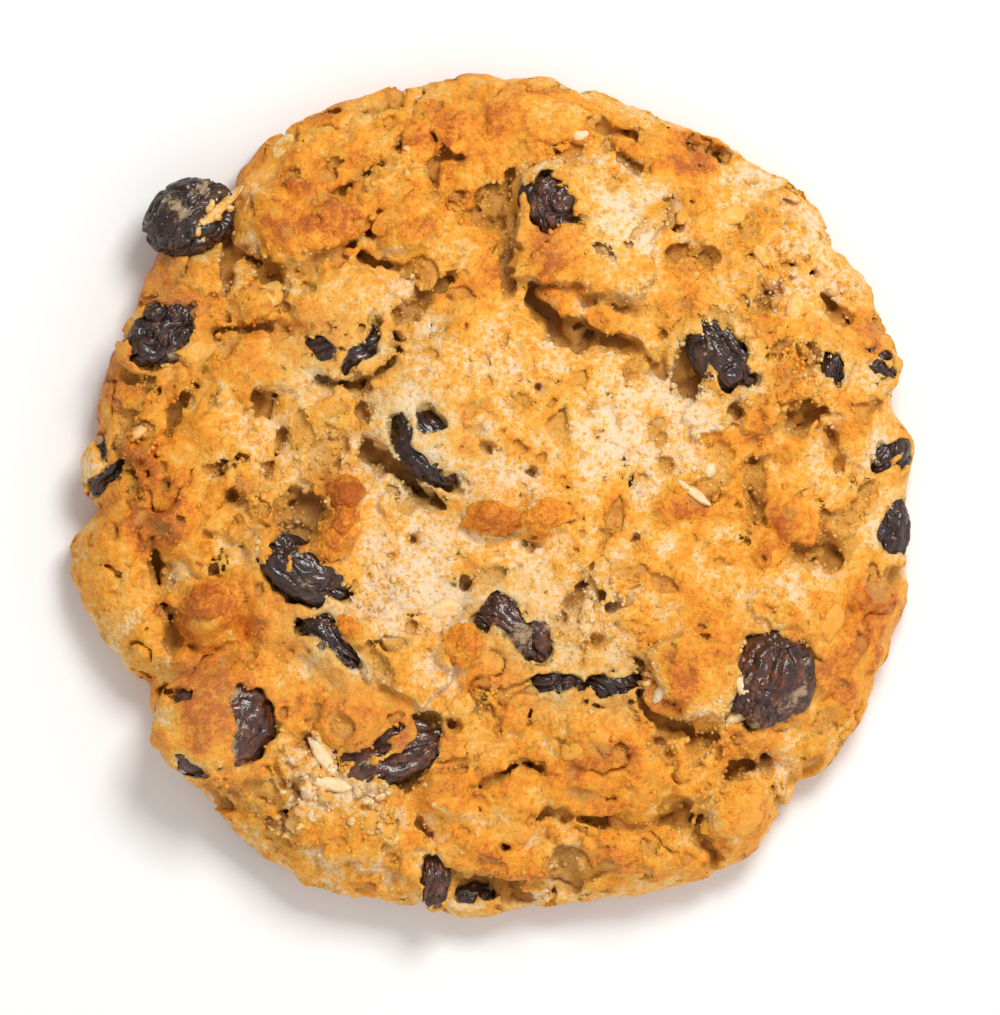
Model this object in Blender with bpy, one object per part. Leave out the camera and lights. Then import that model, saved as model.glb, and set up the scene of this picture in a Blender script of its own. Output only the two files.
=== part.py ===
"""An oatmeal raisin cookie: a thick, domed dough body with raisins baked into its top and its rim.

Sizes are in millimetres until the meshes are made, and Blender's metres after that. +Z is up, and the
cookie rests on its flat base at z = 0, with its box centred on the Z axis.
"""

import math

import bmesh
import bpy
import numpy as np
from mathutils import Vector
from mathutils.geometry import delaunay_2d_cdt

MM = 0.001

# The dough's main sizes, mm.
DOME_HEIGHT = 15.5
SHOULDER_HEIGHT = 12.6
WIDEST_HEIGHT = 4.2
BASE_SHARE = 0.90
RIM_POWER = 8.0

# The mesh's fineness: spacing of the points, mm, and the rings of the rim as shares of the outline.
TOP_SPACING = 2.15
GROOVE_SPACING = 1.9
OUTLINE_POINTS = 128
TOP_RINGS = (0.955, 0.988)
UNDER_RINGS = (0.972, BASE_SHARE)

# What keeps a raisin clear of its pocket, mm.
POCKET_GAP = 0.3
RAISIN_SEGMENTS = 10
RAISIN_RINGS = 6

# The uneven outline seen from above: angle from +X in degrees, radius in mm.
OUTLINE = (
    (0, 45.8), (6, 46.0), (12, 45.4), (18, 46.3), (24, 47.1), (30, 48.0), (36, 46.8), (42, 47.6),
    (54, 46.9), (66, 45.8), (72, 45.5), (84, 46.2), (96, 45.9), (108, 45.6), (114, 45.5), (120, 46.1),
    (127, 45.0), (131, 43.4), (137, 41.8), (143, 44.2), (150, 44.5), (156, 43.5), (165, 44.2),
    (173, 43.3), (178, 44.4), (182, 43.2), (187, 46.5), (194, 46.3), (200, 45.5), (205, 44.7),
    (209, 42.9), (213, 44.0), (219, 44.2), (228, 45.7), (236, 46.5), (246, 47.3), (256, 46.5),
    (264, 45.4), (276, 45.4), (284, 45.9), (294, 47.5), (301, 48.6), (308, 48.3), (314, 47.3),
    (317, 46.0), (321, 47.3), (336, 47.3), (345, 46.8), (354, 45.9),
)

# Raised and sunken places: x, y, two radii, turn in degrees, height (below zero for a pit) and the
# share of the radius that its flank takes.
MOUNDS = (
    (2.0, 11.5, 15.0, 9.0, -10, 0.9, 0.60),
    (11.3, 29.3, 9.0, 7.9, 10, 2.6, 0.25),
    (-21.5, 29.5, 8.5, 5.0, 15, 1.3, 0.40),
    (-25.0, 22.3, 3.6, 3.2, 0, 1.2, 0.50),
    (-32.5, 24.2, 4.2, 3.2, -10, 1.5, 0.50),
    (-38.5, 5.5, 4.0, 3.5, 0, 1.1, 0.60),
    (-30.5, -12.5, 3.3, 3.0, 0, 1.8, 0.90),
    (-15.7, 0.4, 1.8, 1.8, 0, 1.9, 0.90),
    (-17.4, -4.4, 2.4, 4.2, 12, 1.7, 0.80),
    (3.2, -2.4, 5.6, 2.4, -6, 1.6, 0.90),
    (-3.0, -16.5, 3.0, 2.8, 0, 1.6, 0.90),
    (-14.5, -16.2, 3.6, 1.8, -40, 1.4, 0.90),
    (-29.8, -25.2, 6.0, 5.8, 0, 2.0, 0.50),
    (22.3, -19.5, 5.2, 5.0, 0, 1.9, 0.40),
    (-4.5, -33.0, 3.4, 3.2, 0, 1.4, 0.80),
    (-16.5, -36.3, 6.6, 4.4, -15, 1.2, 0.40),
    (23.6, 8.9, 2.6, 2.4, 0, 1.2, 0.60),
    (29.6, 8.5, 2.2, 3.2, 20, 1.5, 0.50),
    (27.8, -35.2, 4.8, 3.4, 50, 1.3, 0.40),
    (10.5, -26.5, 5.0, 3.4, 0, 1.0, 0.80),
    (21.5, -1.5, 4.2, 2.6, 0, 0.8, 0.90),
    (0.5, 31.8, 2.6, 2.6, 0, -1.8, 0.80),
    (-24.0, 23.8, 2.2, 1.5, 0, -2.0, 0.80),
    (-21.0, -2.0, 3.0, 2.5, 0, -2.2, 0.70),
    (-24.8, 10.2, 2.3, 2.0, 0, -1.5, 0.70),
    (22.0, 13.0, 2.3, 2.9, 0, -2.4, 0.70),
    (32.4, 7.0, 3.6, 3.8, 0, -1.8, 0.80),
    (22.0, 26.0, 2.7, 1.8, 0, -1.6, 0.70),
    (23.6, 38.2, 2.3, 1.5, 0, -1.3, 0.70),
    (19.0, -27.6, 2.4, 1.4, 0, -1.5, 0.70),
    (-29.5, -33.4, 2.3, 1.6, 0, -1.5, 0.70),
    (-0.5, -42.6, 4.2, 1.9, 0, -1.6, 0.80),
)

# Cracks and folds of the crust: half width, depth, and the line they follow.
GROOVES = (
    (1.7, 3.2, ((4, 22.3), (7, 19.4), (10, 17.2), (14, 16.6), (18.8, 13.9))),
    (1.2, 2.0, ((2.6, 35.5), (3.0, 31), (2.2, 28), (2.2, 24.5))),
    (1.1, 1.8, ((-29, 26), (-24, 25), (-19, 26.5), (-12.8, 29.3))),
    (1.1, 1.6, ((-18.5, 12.5), (-14.5, 12), (-10.4, 15.5))),
    (1.3, 1.6, ((-14, 5.2), (-11, 3.2), (-9, 1.3), (-5.5, -1))),
    (1.1, 2.2, ((-37.3, -6), (-36, -10.5), (-34.8, -15.5))),
    (1.2, 1.3, ((16, 2.5), (13.8, -1.5), (11.5, -7), (9, -12))),
    (1.2, 1.5, ((5, -35.8), (9.5, -35.2), (16, -36.8), (20, -34), (23, -37.3), (24.3, -41))),
    (1.1, 1.2, ((-1.5, -32.5), (2.3, -30), (5.5, -30))),
    (1.1, 1.5, ((16.5, -22.5), (19, -25), (22, -26))),
    (1.1, 1.4, ((28, 29), (28, 25.5), (30.2, 22.3), (30, 20.5))),
    (1.1, 1.2, ((-30, 18), (-22, 18.3))),
    (1.1, 1.3, ((-6.5, 40), (-6, 36), (-6, 33))),
)

# The raisins: centre x, y and z, the three diameters, turn about Z, tilt about the long side, depth
# of the crease along the top as a share, all from one end of the rim to the other.
RAISINS = {
    "raisin_01": (-33.0, 30.4, 8.2, 9.6, 8.0, 6.4, 35, 0, 0.10),
    "raisin_02": (-35.9, 17.7, 11.2, 9.2, 6.0, 4.6, 35, 12, 0.16),
    "raisin_03": (-42.0, 3.2, 6.8, 6.6, 4.4, 4.2, 70, 0, 0.14),
    "raisin_04": (-16.0, 16.0, 13.6, 9.0, 6.2, 4.4, 15, 0, 0.16),
    "raisin_05": (-7.0, 5.2, 14.6, 9.6, 6.2, 4.4, -55, 0, 0.18),
    "raisin_06": (6.7, 31.9, 14.9, 7.4, 6.2, 5.0, 80, 0, 0.14),
    "raisin_07": (25.3, 15.1, 13.0, 9.8, 6.0, 4.8, -55, 0, 0.20),
    "raisin_08": (37.9, 14.4, 10.6, 4.6, 3.6, 3.4, 80, 0, 0.12),
    "raisin_09": (42.6, 14.6, 7.6, 6.2, 4.6, 4.0, 100, 0, 0.14),
    "raisin_10": (43.6, 4.4, 6.6, 5.4, 4.4, 4.0, 40, 0, 0.16),
    "raisin_11": (43.45, -3.4, 6.4, 8.4, 5.6, 5.0, 95, 0, 0.16),
    "raisin_12": (-20.6, -8.2, 14.1, 11.0, 6.0, 4.6, -30, 0, 0.22),
    "raisin_13": (-17.6, -16.2, 13.3, 8.6, 5.0, 4.2, -45, 0, 0.16),
    "raisin_14": (2.4, -14.2, 14.2, 9.6, 6.2, 4.6, -45, 0, 0.16),
    "raisin_15": (7.5, -20.7, 13.2, 6.0, 4.2, 4.0, 0, 0, 0.12),
    "raisin_16": (13.4, -20.9, 13.1, 5.4, 4.4, 4.0, -10, 0, 0.12),
    "raisin_17": (30.6, -20.0, 12.4, 10.8, 9.0, 6.2, 70, 0, 0.10),
    "raisin_18": (-26.8, -25.6, 11.9, 9.4, 6.6, 4.8, 65, 0, 0.12),
    "raisin_19": (-10.8, -28.6, 13.1, 11.6, 7.2, 5.2, 20, 0, 0.22),
    "raisin_20": (-6.0, -42.2, 9.0, 6.0, 3.6, 4.2, 88, 0, 0.12),
    "raisin_21": (-2.2, -44.3, 4.6, 6.6, 3.8, 3.4, -5, 0, 0.12),
}

DOUGH_COLOUR = (0.72, 0.36, 0.10)
RAISIN_COLOUR = (0.035, 0.018, 0.014)


def smoothstep(value):
    """A soft ramp from 0 to 1."""
    part = np.clip(value, 0.0, 1.0)
    return part * part * (3.0 - 2.0 * part)


def outline_radius(angle):
    """The outline's radius, mm, at each angle in radians, eased between the listed points."""
    turns = np.array([row[0] for row in OUTLINE], float)
    radii = np.array([row[1] for row in OUTLINE], float)
    degrees = np.degrees(angle) % 360.0
    after = np.searchsorted(turns, degrees, side="right")
    before = after - 1
    start = turns[before]
    end = np.append(turns, 360.0)[after]
    share = smoothstep((degrees - start) / (end - start))
    return radii[before] * (1.0 - share) + np.append(radii, radii[0])[after] * share


def rim_share(x, y):
    """How far out a point lies: 0 at the middle, 1 on the outline."""
    return np.hypot(x, y) / outline_radius(np.arctan2(y, x))


def dome_height(share):
    """The smooth top's height, which turns down to the widest line at the rim."""
    crown = DOME_HEIGHT - (DOME_HEIGHT - SHOULDER_HEIGHT) * share**2
    roundness = np.sqrt(np.clip(1.0 - share**RIM_POWER, 0.0, 1.0))
    return WIDEST_HEIGHT + (crown - WIDEST_HEIGHT) * roundness


def tuck_height(share):
    """The underside's height: flat, then curving up to the widest line."""
    run = np.clip((share - BASE_SHARE) / (1.0 - BASE_SHARE), 0.0, 1.0)
    return WIDEST_HEIGHT * (1.0 - np.sqrt(1.0 - run**2))


def mound_height(x, y):
    """The raised and sunken places, summed."""
    total = np.zeros_like(x)
    for centre_x, centre_y, long_radius, short_radius, turn, height, flank in MOUNDS:
        angle = math.radians(turn)
        along = (x - centre_x) * math.cos(angle) + (y - centre_y) * math.sin(angle)
        across = (y - centre_y) * math.cos(angle) - (x - centre_x) * math.sin(angle)
        reach = np.hypot(along / long_radius, across / short_radius)
        total += height * smoothstep((1.0 - reach) / flank)
    return total


def line_distance(x, y, line):
    """The distance from each point to a line of straight stretches."""
    nearest = np.full_like(x, np.inf)
    for (start_x, start_y), (end_x, end_y) in zip(line, line[1:]):
        run_x = end_x - start_x
        run_y = end_y - start_y
        share = ((x - start_x) * run_x + (y - start_y) * run_y) / (run_x**2 + run_y**2)
        share = np.clip(share, 0.0, 1.0)
        gap = np.hypot(x - start_x - share * run_x, y - start_y - share * run_y)
        nearest = np.minimum(nearest, gap)
    return nearest


def groove_depth(x, y):
    """The depth of the cracks at each point."""
    deepest = np.zeros_like(x)
    for half_width, depth, line in GROOVES:
        profile = depth * np.exp(-((line_distance(x, y, line) / half_width) ** 2))
        deepest = np.maximum(deepest, profile)
    return deepest


def top_height(x, y):
    """The dough's top with its lumps and cracks, which fade out towards the widest line."""
    share = rim_share(x, y)
    fade = smoothstep((1.0 - share) / 0.08)
    return dome_height(share) + fade * (mound_height(x, y) - groove_depth(x, y))


def groove_points():
    """Points along every crack, so that the mesh follows its floor."""
    points = []
    for _, _, line in GROOVES:
        for start, end in zip(line, line[1:]):
            steps = max(1, round(math.dist(start, end) / GROOVE_SPACING))
            for step in range(steps):
                points.append(Vector(start).lerp(Vector(end), step / steps))
        points.append(Vector(line[-1]))
    return np.array([(point.x, point.y) for point in points])


def field_points():
    """Points in even triangles over the top, inside the first ring of the rim."""
    rows = []
    row_step = TOP_SPACING * math.sqrt(3.0) / 2.0
    reach = int(50.0 / row_step)
    for row in range(-reach, reach + 1):
        offset = TOP_SPACING / 2.0 if row % 2 else 0.0
        columns = np.arange(-24, 25) * TOP_SPACING + offset
        rows.append(np.column_stack([columns, np.full_like(columns, row * row_step)]))
    points = np.concatenate(rows)
    inside = rim_share(points[:, 0], points[:, 1]) < TOP_RINGS[0] - 0.025
    points = points[inside]
    cracks = groove_points()
    gaps = np.hypot(points[:, None, 0] - cracks[None, :, 0], points[:, None, 1] - cracks[None, :, 1])
    return np.concatenate([points[gaps.min(axis=1) > 0.6 * TOP_SPACING], cracks])


def outline_ring(share, height_of):
    """One ring of points round the cookie, at a share of the outline."""
    angle = np.arange(OUTLINE_POINTS) * 2.0 * math.pi / OUTLINE_POINTS
    radius = share * outline_radius(angle)
    x = radius * np.cos(angle)
    y = radius * np.sin(angle)
    return np.column_stack([x, y, height_of(x, y)])


def level(height_of_share, share):
    """A height function that is the same all round."""
    return lambda x, y: np.full_like(x, height_of_share(np.float64(share)))


def dough_mesh():
    """The closed dough: the triangulated top, the rim's rings and the flat base."""
    rings = [outline_ring(share, top_height) for share in TOP_RINGS]
    rings.append(outline_ring(1.0, level(tuck_height, 1.0)))
    rings += [outline_ring(share, level(tuck_height, share)) for share in UNDER_RINGS]
    field = field_points()
    heights = top_height(field[:, 0], field[:, 1])
    first = OUTLINE_POINTS
    flat = [Vector(row[:2]) for row in rings[0]] + [Vector(row) for row in field]
    edges = [(index, (index + 1) % first) for index in range(first)]
    found = delaunay_2d_cdt(flat, edges, [], 1, 1e-6)
    faces = [tuple(face) for face in found[2]]
    corners = [*map(tuple, rings[0]), *zip(field[:, 0], field[:, 1], heights)]
    inner = list(range(first))
    for ring in rings[1:]:
        outer = [len(corners) + index for index in range(first)]
        corners += [tuple(row) for row in ring]
        faces += bridge(inner, outer)
        inner = outer
    faces.append(tuple(inner))
    return corners, faces


def bridge(inner, outer):
    """Four-sided faces between two rings of the same number of points."""
    count = len(inner)
    return [
        (inner[index], outer[index], outer[(index + 1) % count], inner[(index + 1) % count])
        for index in range(count)
    ]


def raisin_corner(ring, segment, crease):
    """One point of a raisin one unit across: wrinkled, and creased along its top and bottom."""
    polar = math.pi * ring / RAISIN_RINGS
    around = 2.0 * math.pi * segment / RAISIN_SEGMENTS
    along = math.cos(polar)
    side = math.sin(polar) * math.cos(around)
    up = math.sin(polar) * math.sin(around)
    wrinkle = 1.0 + 0.05 * math.cos(3.0 * around + 2.0 * along)
    fold = 1.0 - crease * math.exp(-((side / 0.35) ** 2)) * math.sin(polar)
    return (0.5 * along, 0.5 * side * wrinkle, 0.5 * up * wrinkle * fold)


def raisin_mesh(diameters, crease):
    """The corners and faces of a raisin about its own centre, its long side along X."""
    corners = [(0.5, 0.0, 0.0)]
    for ring in range(1, RAISIN_RINGS):
        for segment in range(RAISIN_SEGMENTS):
            corners.append(raisin_corner(ring, segment, crease))
    corners.append((-0.5, 0.0, 0.0))
    rings = [
        [1 + ring * RAISIN_SEGMENTS + segment for segment in range(RAISIN_SEGMENTS)]
        for ring in range(RAISIN_RINGS - 1)
    ]
    last = len(corners) - 1
    faces = []
    for segment in range(RAISIN_SEGMENTS):
        after = (segment + 1) % RAISIN_SEGMENTS
        faces.append((0, rings[0][segment], rings[0][after]))
        faces.append((last, rings[-1][after], rings[-1][segment]))
    for inner, outer in zip(rings, rings[1:]):
        faces += bridge(inner, outer)
    return [tuple(np.multiply(corner, diameters)) for corner in corners], faces


def placed_raisin(row, growth):
    """A raisin's corners where it lies in the cookie, grown on every side."""
    x, y, z, length, width, height, turn, tilt, crease = row
    diameters = [size + 2.0 * growth for size in (length, width, height)]
    corners, faces = raisin_mesh(diameters, crease)
    turn_cos = math.cos(math.radians(turn))
    turn_sin = math.sin(math.radians(turn))
    tilt_cos = math.cos(math.radians(tilt))
    tilt_sin = math.sin(math.radians(tilt))
    placed = []
    for along, side, up in corners:
        leaned_side = side * tilt_cos - up * tilt_sin
        leaned_up = side * tilt_sin + up * tilt_cos
        placed.append((
            x + along * turn_cos - leaned_side * turn_sin,
            y + along * turn_sin + leaned_side * turn_cos,
            z + leaned_up,
        ))
    return placed, faces


def make_material(name, colour, roughness):
    material = bpy.data.materials.new(name)
    material.use_nodes = True
    shader = material.node_tree.nodes["Principled BSDF"]
    shader.inputs["Base Color"].default_value = (*colour, 1.0)
    shader.inputs["Roughness"].default_value = roughness
    shader.inputs["Metallic"].default_value = 0.0
    return material


def make_object(name, corners, faces, material):
    """A smooth-shaded object from corners in millimetres, its faces turned outwards."""
    mesh = bpy.data.meshes.new(name)
    mesh.from_pydata([tuple(value * MM for value in corner) for corner in corners], [], faces)
    shell = bmesh.new()
    shell.from_mesh(mesh)
    bmesh.ops.triangulate(shell, faces=shell.faces)
    bmesh.ops.recalc_face_normals(shell, faces=shell.faces)
    shell.to_mesh(mesh)
    shell.free()
    mesh.shade_smooth()
    mesh.materials.append(material)
    thing = bpy.data.objects.new(name, mesh)
    bpy.context.scene.collection.objects.link(thing)
    return thing


def make_pockets(material):
    """All the raisins' pockets as one cutter, each a little larger than its raisin."""
    corners = []
    faces = []
    for row in RAISINS.values():
        placed, sides = placed_raisin(row, POCKET_GAP)
        start = len(corners)
        corners += placed
        faces += [tuple(start + index for index in face) for face in sides]
    cutter = make_object("raisin_pockets", corners, faces, material)
    cutter.hide_render = True
    cutter.display_type = "WIRE"
    return cutter


def main():
    for thing in list(bpy.data.objects):
        bpy.data.objects.remove(thing)
    dough_material = make_material("dough", DOUGH_COLOUR, 0.8)
    raisin_material = make_material("raisin", RAISIN_COLOUR, 0.35)
    dough = make_object("dough", *dough_mesh(), dough_material)
    for name, row in RAISINS.items():
        make_object(name, *placed_raisin(row, 0.0), raisin_material)
    cut = dough.modifiers.new("raisin pockets", "BOOLEAN")
    cut.operation = "DIFFERENCE"
    cut.solver = "EXACT"
    cut.object = make_pockets(dough_material)


main()
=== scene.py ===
"""The looks of an oatmeal raisin cookie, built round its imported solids.

The dough is a field of signed distances, in millimetres, on a grid of voxels: the smooth body of the
solid, raised by plates of crust and carved by cracks, pits and pores, then meshed. Each raisin is a
wrinkled body in the place of its solid. Oat flakes and crumbs lie on top.
"""

import math

import bmesh
import bpy
import numpy as np
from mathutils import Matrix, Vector


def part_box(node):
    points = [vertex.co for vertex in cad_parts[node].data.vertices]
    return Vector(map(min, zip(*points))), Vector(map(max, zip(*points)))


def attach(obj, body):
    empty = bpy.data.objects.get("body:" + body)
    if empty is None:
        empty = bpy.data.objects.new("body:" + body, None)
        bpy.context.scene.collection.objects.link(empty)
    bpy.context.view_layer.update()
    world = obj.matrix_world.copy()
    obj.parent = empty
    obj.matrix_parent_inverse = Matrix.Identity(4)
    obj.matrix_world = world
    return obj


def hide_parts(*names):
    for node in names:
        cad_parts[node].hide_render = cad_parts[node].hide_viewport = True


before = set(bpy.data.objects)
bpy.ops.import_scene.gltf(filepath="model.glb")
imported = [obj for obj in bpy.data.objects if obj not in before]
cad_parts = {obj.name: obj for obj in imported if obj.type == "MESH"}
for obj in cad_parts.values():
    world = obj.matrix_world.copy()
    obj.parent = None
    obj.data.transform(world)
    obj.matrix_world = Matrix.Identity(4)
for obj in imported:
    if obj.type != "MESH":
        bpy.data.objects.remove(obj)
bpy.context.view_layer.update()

MM = 0.001

# The grid of voxels, mm, and the most triangles that the dough keeps.
VOXEL = 0.23
GRID_LOW = (-48.5, -48.5, -0.9)
GRID_HIGH = (48.5, 48.5, 19.4)
DOUGH_TRIANGLES = 196000

# The dough's main sizes, mm, as in its solid.
DOME_HEIGHT = 15.5
SHOULDER_HEIGHT = 12.6
WIDEST_HEIGHT = 4.2
BASE_SHARE = 0.90
RIM_POWER = 8.0
MEAN_RADIUS = 46.0

# The uneven outline seen from above: angle from +X in degrees, radius in mm.
OUTLINE = (
    (0, 45.8), (6, 46.0), (12, 45.4), (18, 46.3), (24, 47.1), (30, 48.0), (36, 46.8), (42, 47.6),
    (54, 46.9), (66, 45.8), (72, 45.5), (84, 46.2), (96, 45.9), (108, 45.6), (114, 45.5), (120, 46.1),
    (127, 45.0), (131, 43.4), (137, 41.8), (143, 44.2), (150, 44.5), (156, 43.5), (165, 44.2),
    (173, 43.3), (178, 44.4), (182, 43.2), (187, 46.5), (194, 46.3), (200, 45.5), (205, 44.7),
    (209, 42.9), (213, 44.0), (219, 44.2), (228, 45.7), (236, 46.5), (246, 47.3), (256, 46.5),
    (264, 45.4), (276, 45.4), (284, 45.9), (294, 47.5), (301, 48.6), (308, 48.3), (314, 47.3),
    (317, 46.0), (321, 47.3), (336, 47.3), (345, 46.8), (354, 45.9),
)

# Soft lumps and hollows: x, y, two radii, turn in degrees, height, share of the radius that slopes.
MOUNDS = (
    (2.0, 11.5, 15.0, 9.0, -10, 0.9, 0.60),
    (-38.5, 5.5, 4.0, 3.5, 0, 1.1, 0.60),
    (-30.5, -12.5, 2.8, 2.6, 0, 2.5, 0.75),
    (-15.7, 0.2, 2.0, 2.0, 0, 1.4, 0.80),
    (0.2, -2.4, 2.8, 2.2, 0, 1.7, 0.70),
    (5.4, -2.5, 3.0, 2.0, -10, 1.6, 0.70),
    (-3.0, -16.5, 2.8, 2.8, 0, 2.0, 0.70),
    (-29.8, -25.2, 6.2, 6.0, 0, 1.5, 0.38),
    (-4.5, -33.0, 3.4, 3.2, 0, 2.0, 0.60),
    (10.5, -26.5, 5.0, 3.4, 0, 1.0, 0.80),
    (21.5, -1.5, 4.2, 2.6, 0, 1.0, 0.90),
    (33.0, -3.0, 3.0, 2.2, 0, 0.8, 0.90),
    (34.0, 6.6, 6.4, 3.2, 12, -1.7, 0.90),
    (35.5, 4.5, 2.0, 2.0, 0, 1.2, 0.80),
    (0.5, 40.7, 2.8, 2.4, 0, 0.7, 0.90),
    (-27.2, -14.6, 2.2, 4.6, -12, -1.8, 0.80),
    (-30.6, -17.4, 3.6, 2.0, -25, -1.2, 0.80),
    (-33.6, -15.0, 2.6, 3.4, 20, -0.9, 0.80),
    (-0.5, -42.6, 4.2, 1.9, 0, -1.2, 0.80),
)

# Plates of crust with a broken edge: height, corners.
PLATES = (
    (2.5, ((3, 24), (2.9, 29), (4, 35.5), (9, 37), (14, 36), (17.5, 34.3), (19.5, 32), (19.6, 29.6),
           (18.2, 28), (18, 25), (17, 22), (14, 21.2), (10, 22.3), (6.5, 23))),
    (1.2, ((-29, 29), (-25.4, 26.6), (-23.7, 24.8), (-21.8, 24.9), (-18.4, 26.6), (-14.6, 27.8),
           (-12.7, 29.2), (-14, 31.5), (-16.5, 33), (-20.9, 32.5), (-24, 33.5), (-27.5, 32.5))),
    (1.0, ((-15, 34.3), (-12, 36), (-8, 35.5), (-6.3, 33), (-5.9, 29), (-7, 26.8), (-10, 26.2),
           (-11.5, 27.6), (-12.4, 30), (-14, 32))),
    (1.1, ((-28.9, 25), (-27.5, 25.8), (-26, 24.5), (-24.8, 23.2), (-23.5, 22.2), (-23.6, 19.8),
           (-26.4, 18.6), (-28.4, 20.2))),
    (1.0, ((-35.3, 26), (-33, 26.6), (-30, 27), (-29.1, 24.5), (-29.3, 21.3), (-31.5, 21.6),
           (-34.6, 23.5))),
    (1.2, ((-22.6, 24), (-19, 26), (-15.5, 26.4), (-12, 24.8), (-9.8, 22.3), (-9.9, 18.5), (-11, 16.2),
           (-14, 15), (-19.8, 17), (-22, 19.5))),
    (0.9, ((-31, 14.5), (-29, 17.4), (-26, 17.6), (-21.5, 17.5), (-20.2, 15.6), (-18.9, 14),
           (-19.2, 11.5), (-20.5, 9.5), (-23, 12.2), (-27, 12.2), (-29.5, 10.5))),
    (2.8, ((17.4, -18), (18.6, -16.6), (21, -15.2), (24.5, -15.2), (27.6, -16.2), (28.4, -18.4),
           (27.2, -21.4), (25, -24), (21.6, -24.2), (19.2, -22.5), (17.8, -20.5))),
    (1.2, ((-22.5, -35), (-19.5, -32.6), (-14, -33), (-10.2, -34.8), (-10, -37.5), (-13, -40.5),
           (-18, -40.8), (-21.5, -38.5))),
    (1.2, ((21.2, 8.6), (22.6, 11), (24.6, 10.6), (25.8, 9.2), (25.6, 7), (22.5, 6.6))),
    (1.4, ((28, 6.6), (27.5, 8.6), (28.4, 11), (30.8, 10.8), (31.4, 8.4), (30.2, 6.8))),
    (1.3, ((24.4, -33.6), (26, -31.4), (28.5, -31), (30.6, -33.4), (31, -36.4), (28.4, -39.2),
           (26, -38.4), (24.6, -36))),
    (1.6, ((-16.9, -13.3), (-14.5, -12.8), (-12, -13.6), (-8, -14.5), (-4.5, -17), (-5, -21), (-7.4, -22.8),
           (-9.6, -21.6), (-12.5, -20.0), (-13.9, -18.2), (-15, -16.2), (-16.6, -14.9))),
    (2.0, ((-17.1, 1.2), (-15.2, 1.8), (-14.1, 0.2), (-14.5, -1.8), (-14.3, -4.2), (-15.3, -7.0), (-17.7, -7.2),
           (-19.6, -6.0), (-18.6, -4.2), (-17.5, -1.8))),
    (1.0, ((-2.8, -1.6), (0, -0.4), (2.4, -1.0), (5.2, -0.2), (8.2, -1.4), (8.2, -3.6), (5.5, -3.8), (3.8, -4.6),
           (1.5, -4.4), (-1.5, -4.0))),
    (0.9, ((-4.8, -14.9), (-2.9, -13.9), (-0.8, -14.6), (0, -16.5), (-1.1, -18.6), (-3.5, -18.9), (-5.1, -17.4))),
    (0.8, ((28, -11.2), (30.2, -10.2), (34, -12), (34.2, -14.6), (31.4, -14.8), (28.8, -13.4))),
)

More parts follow.
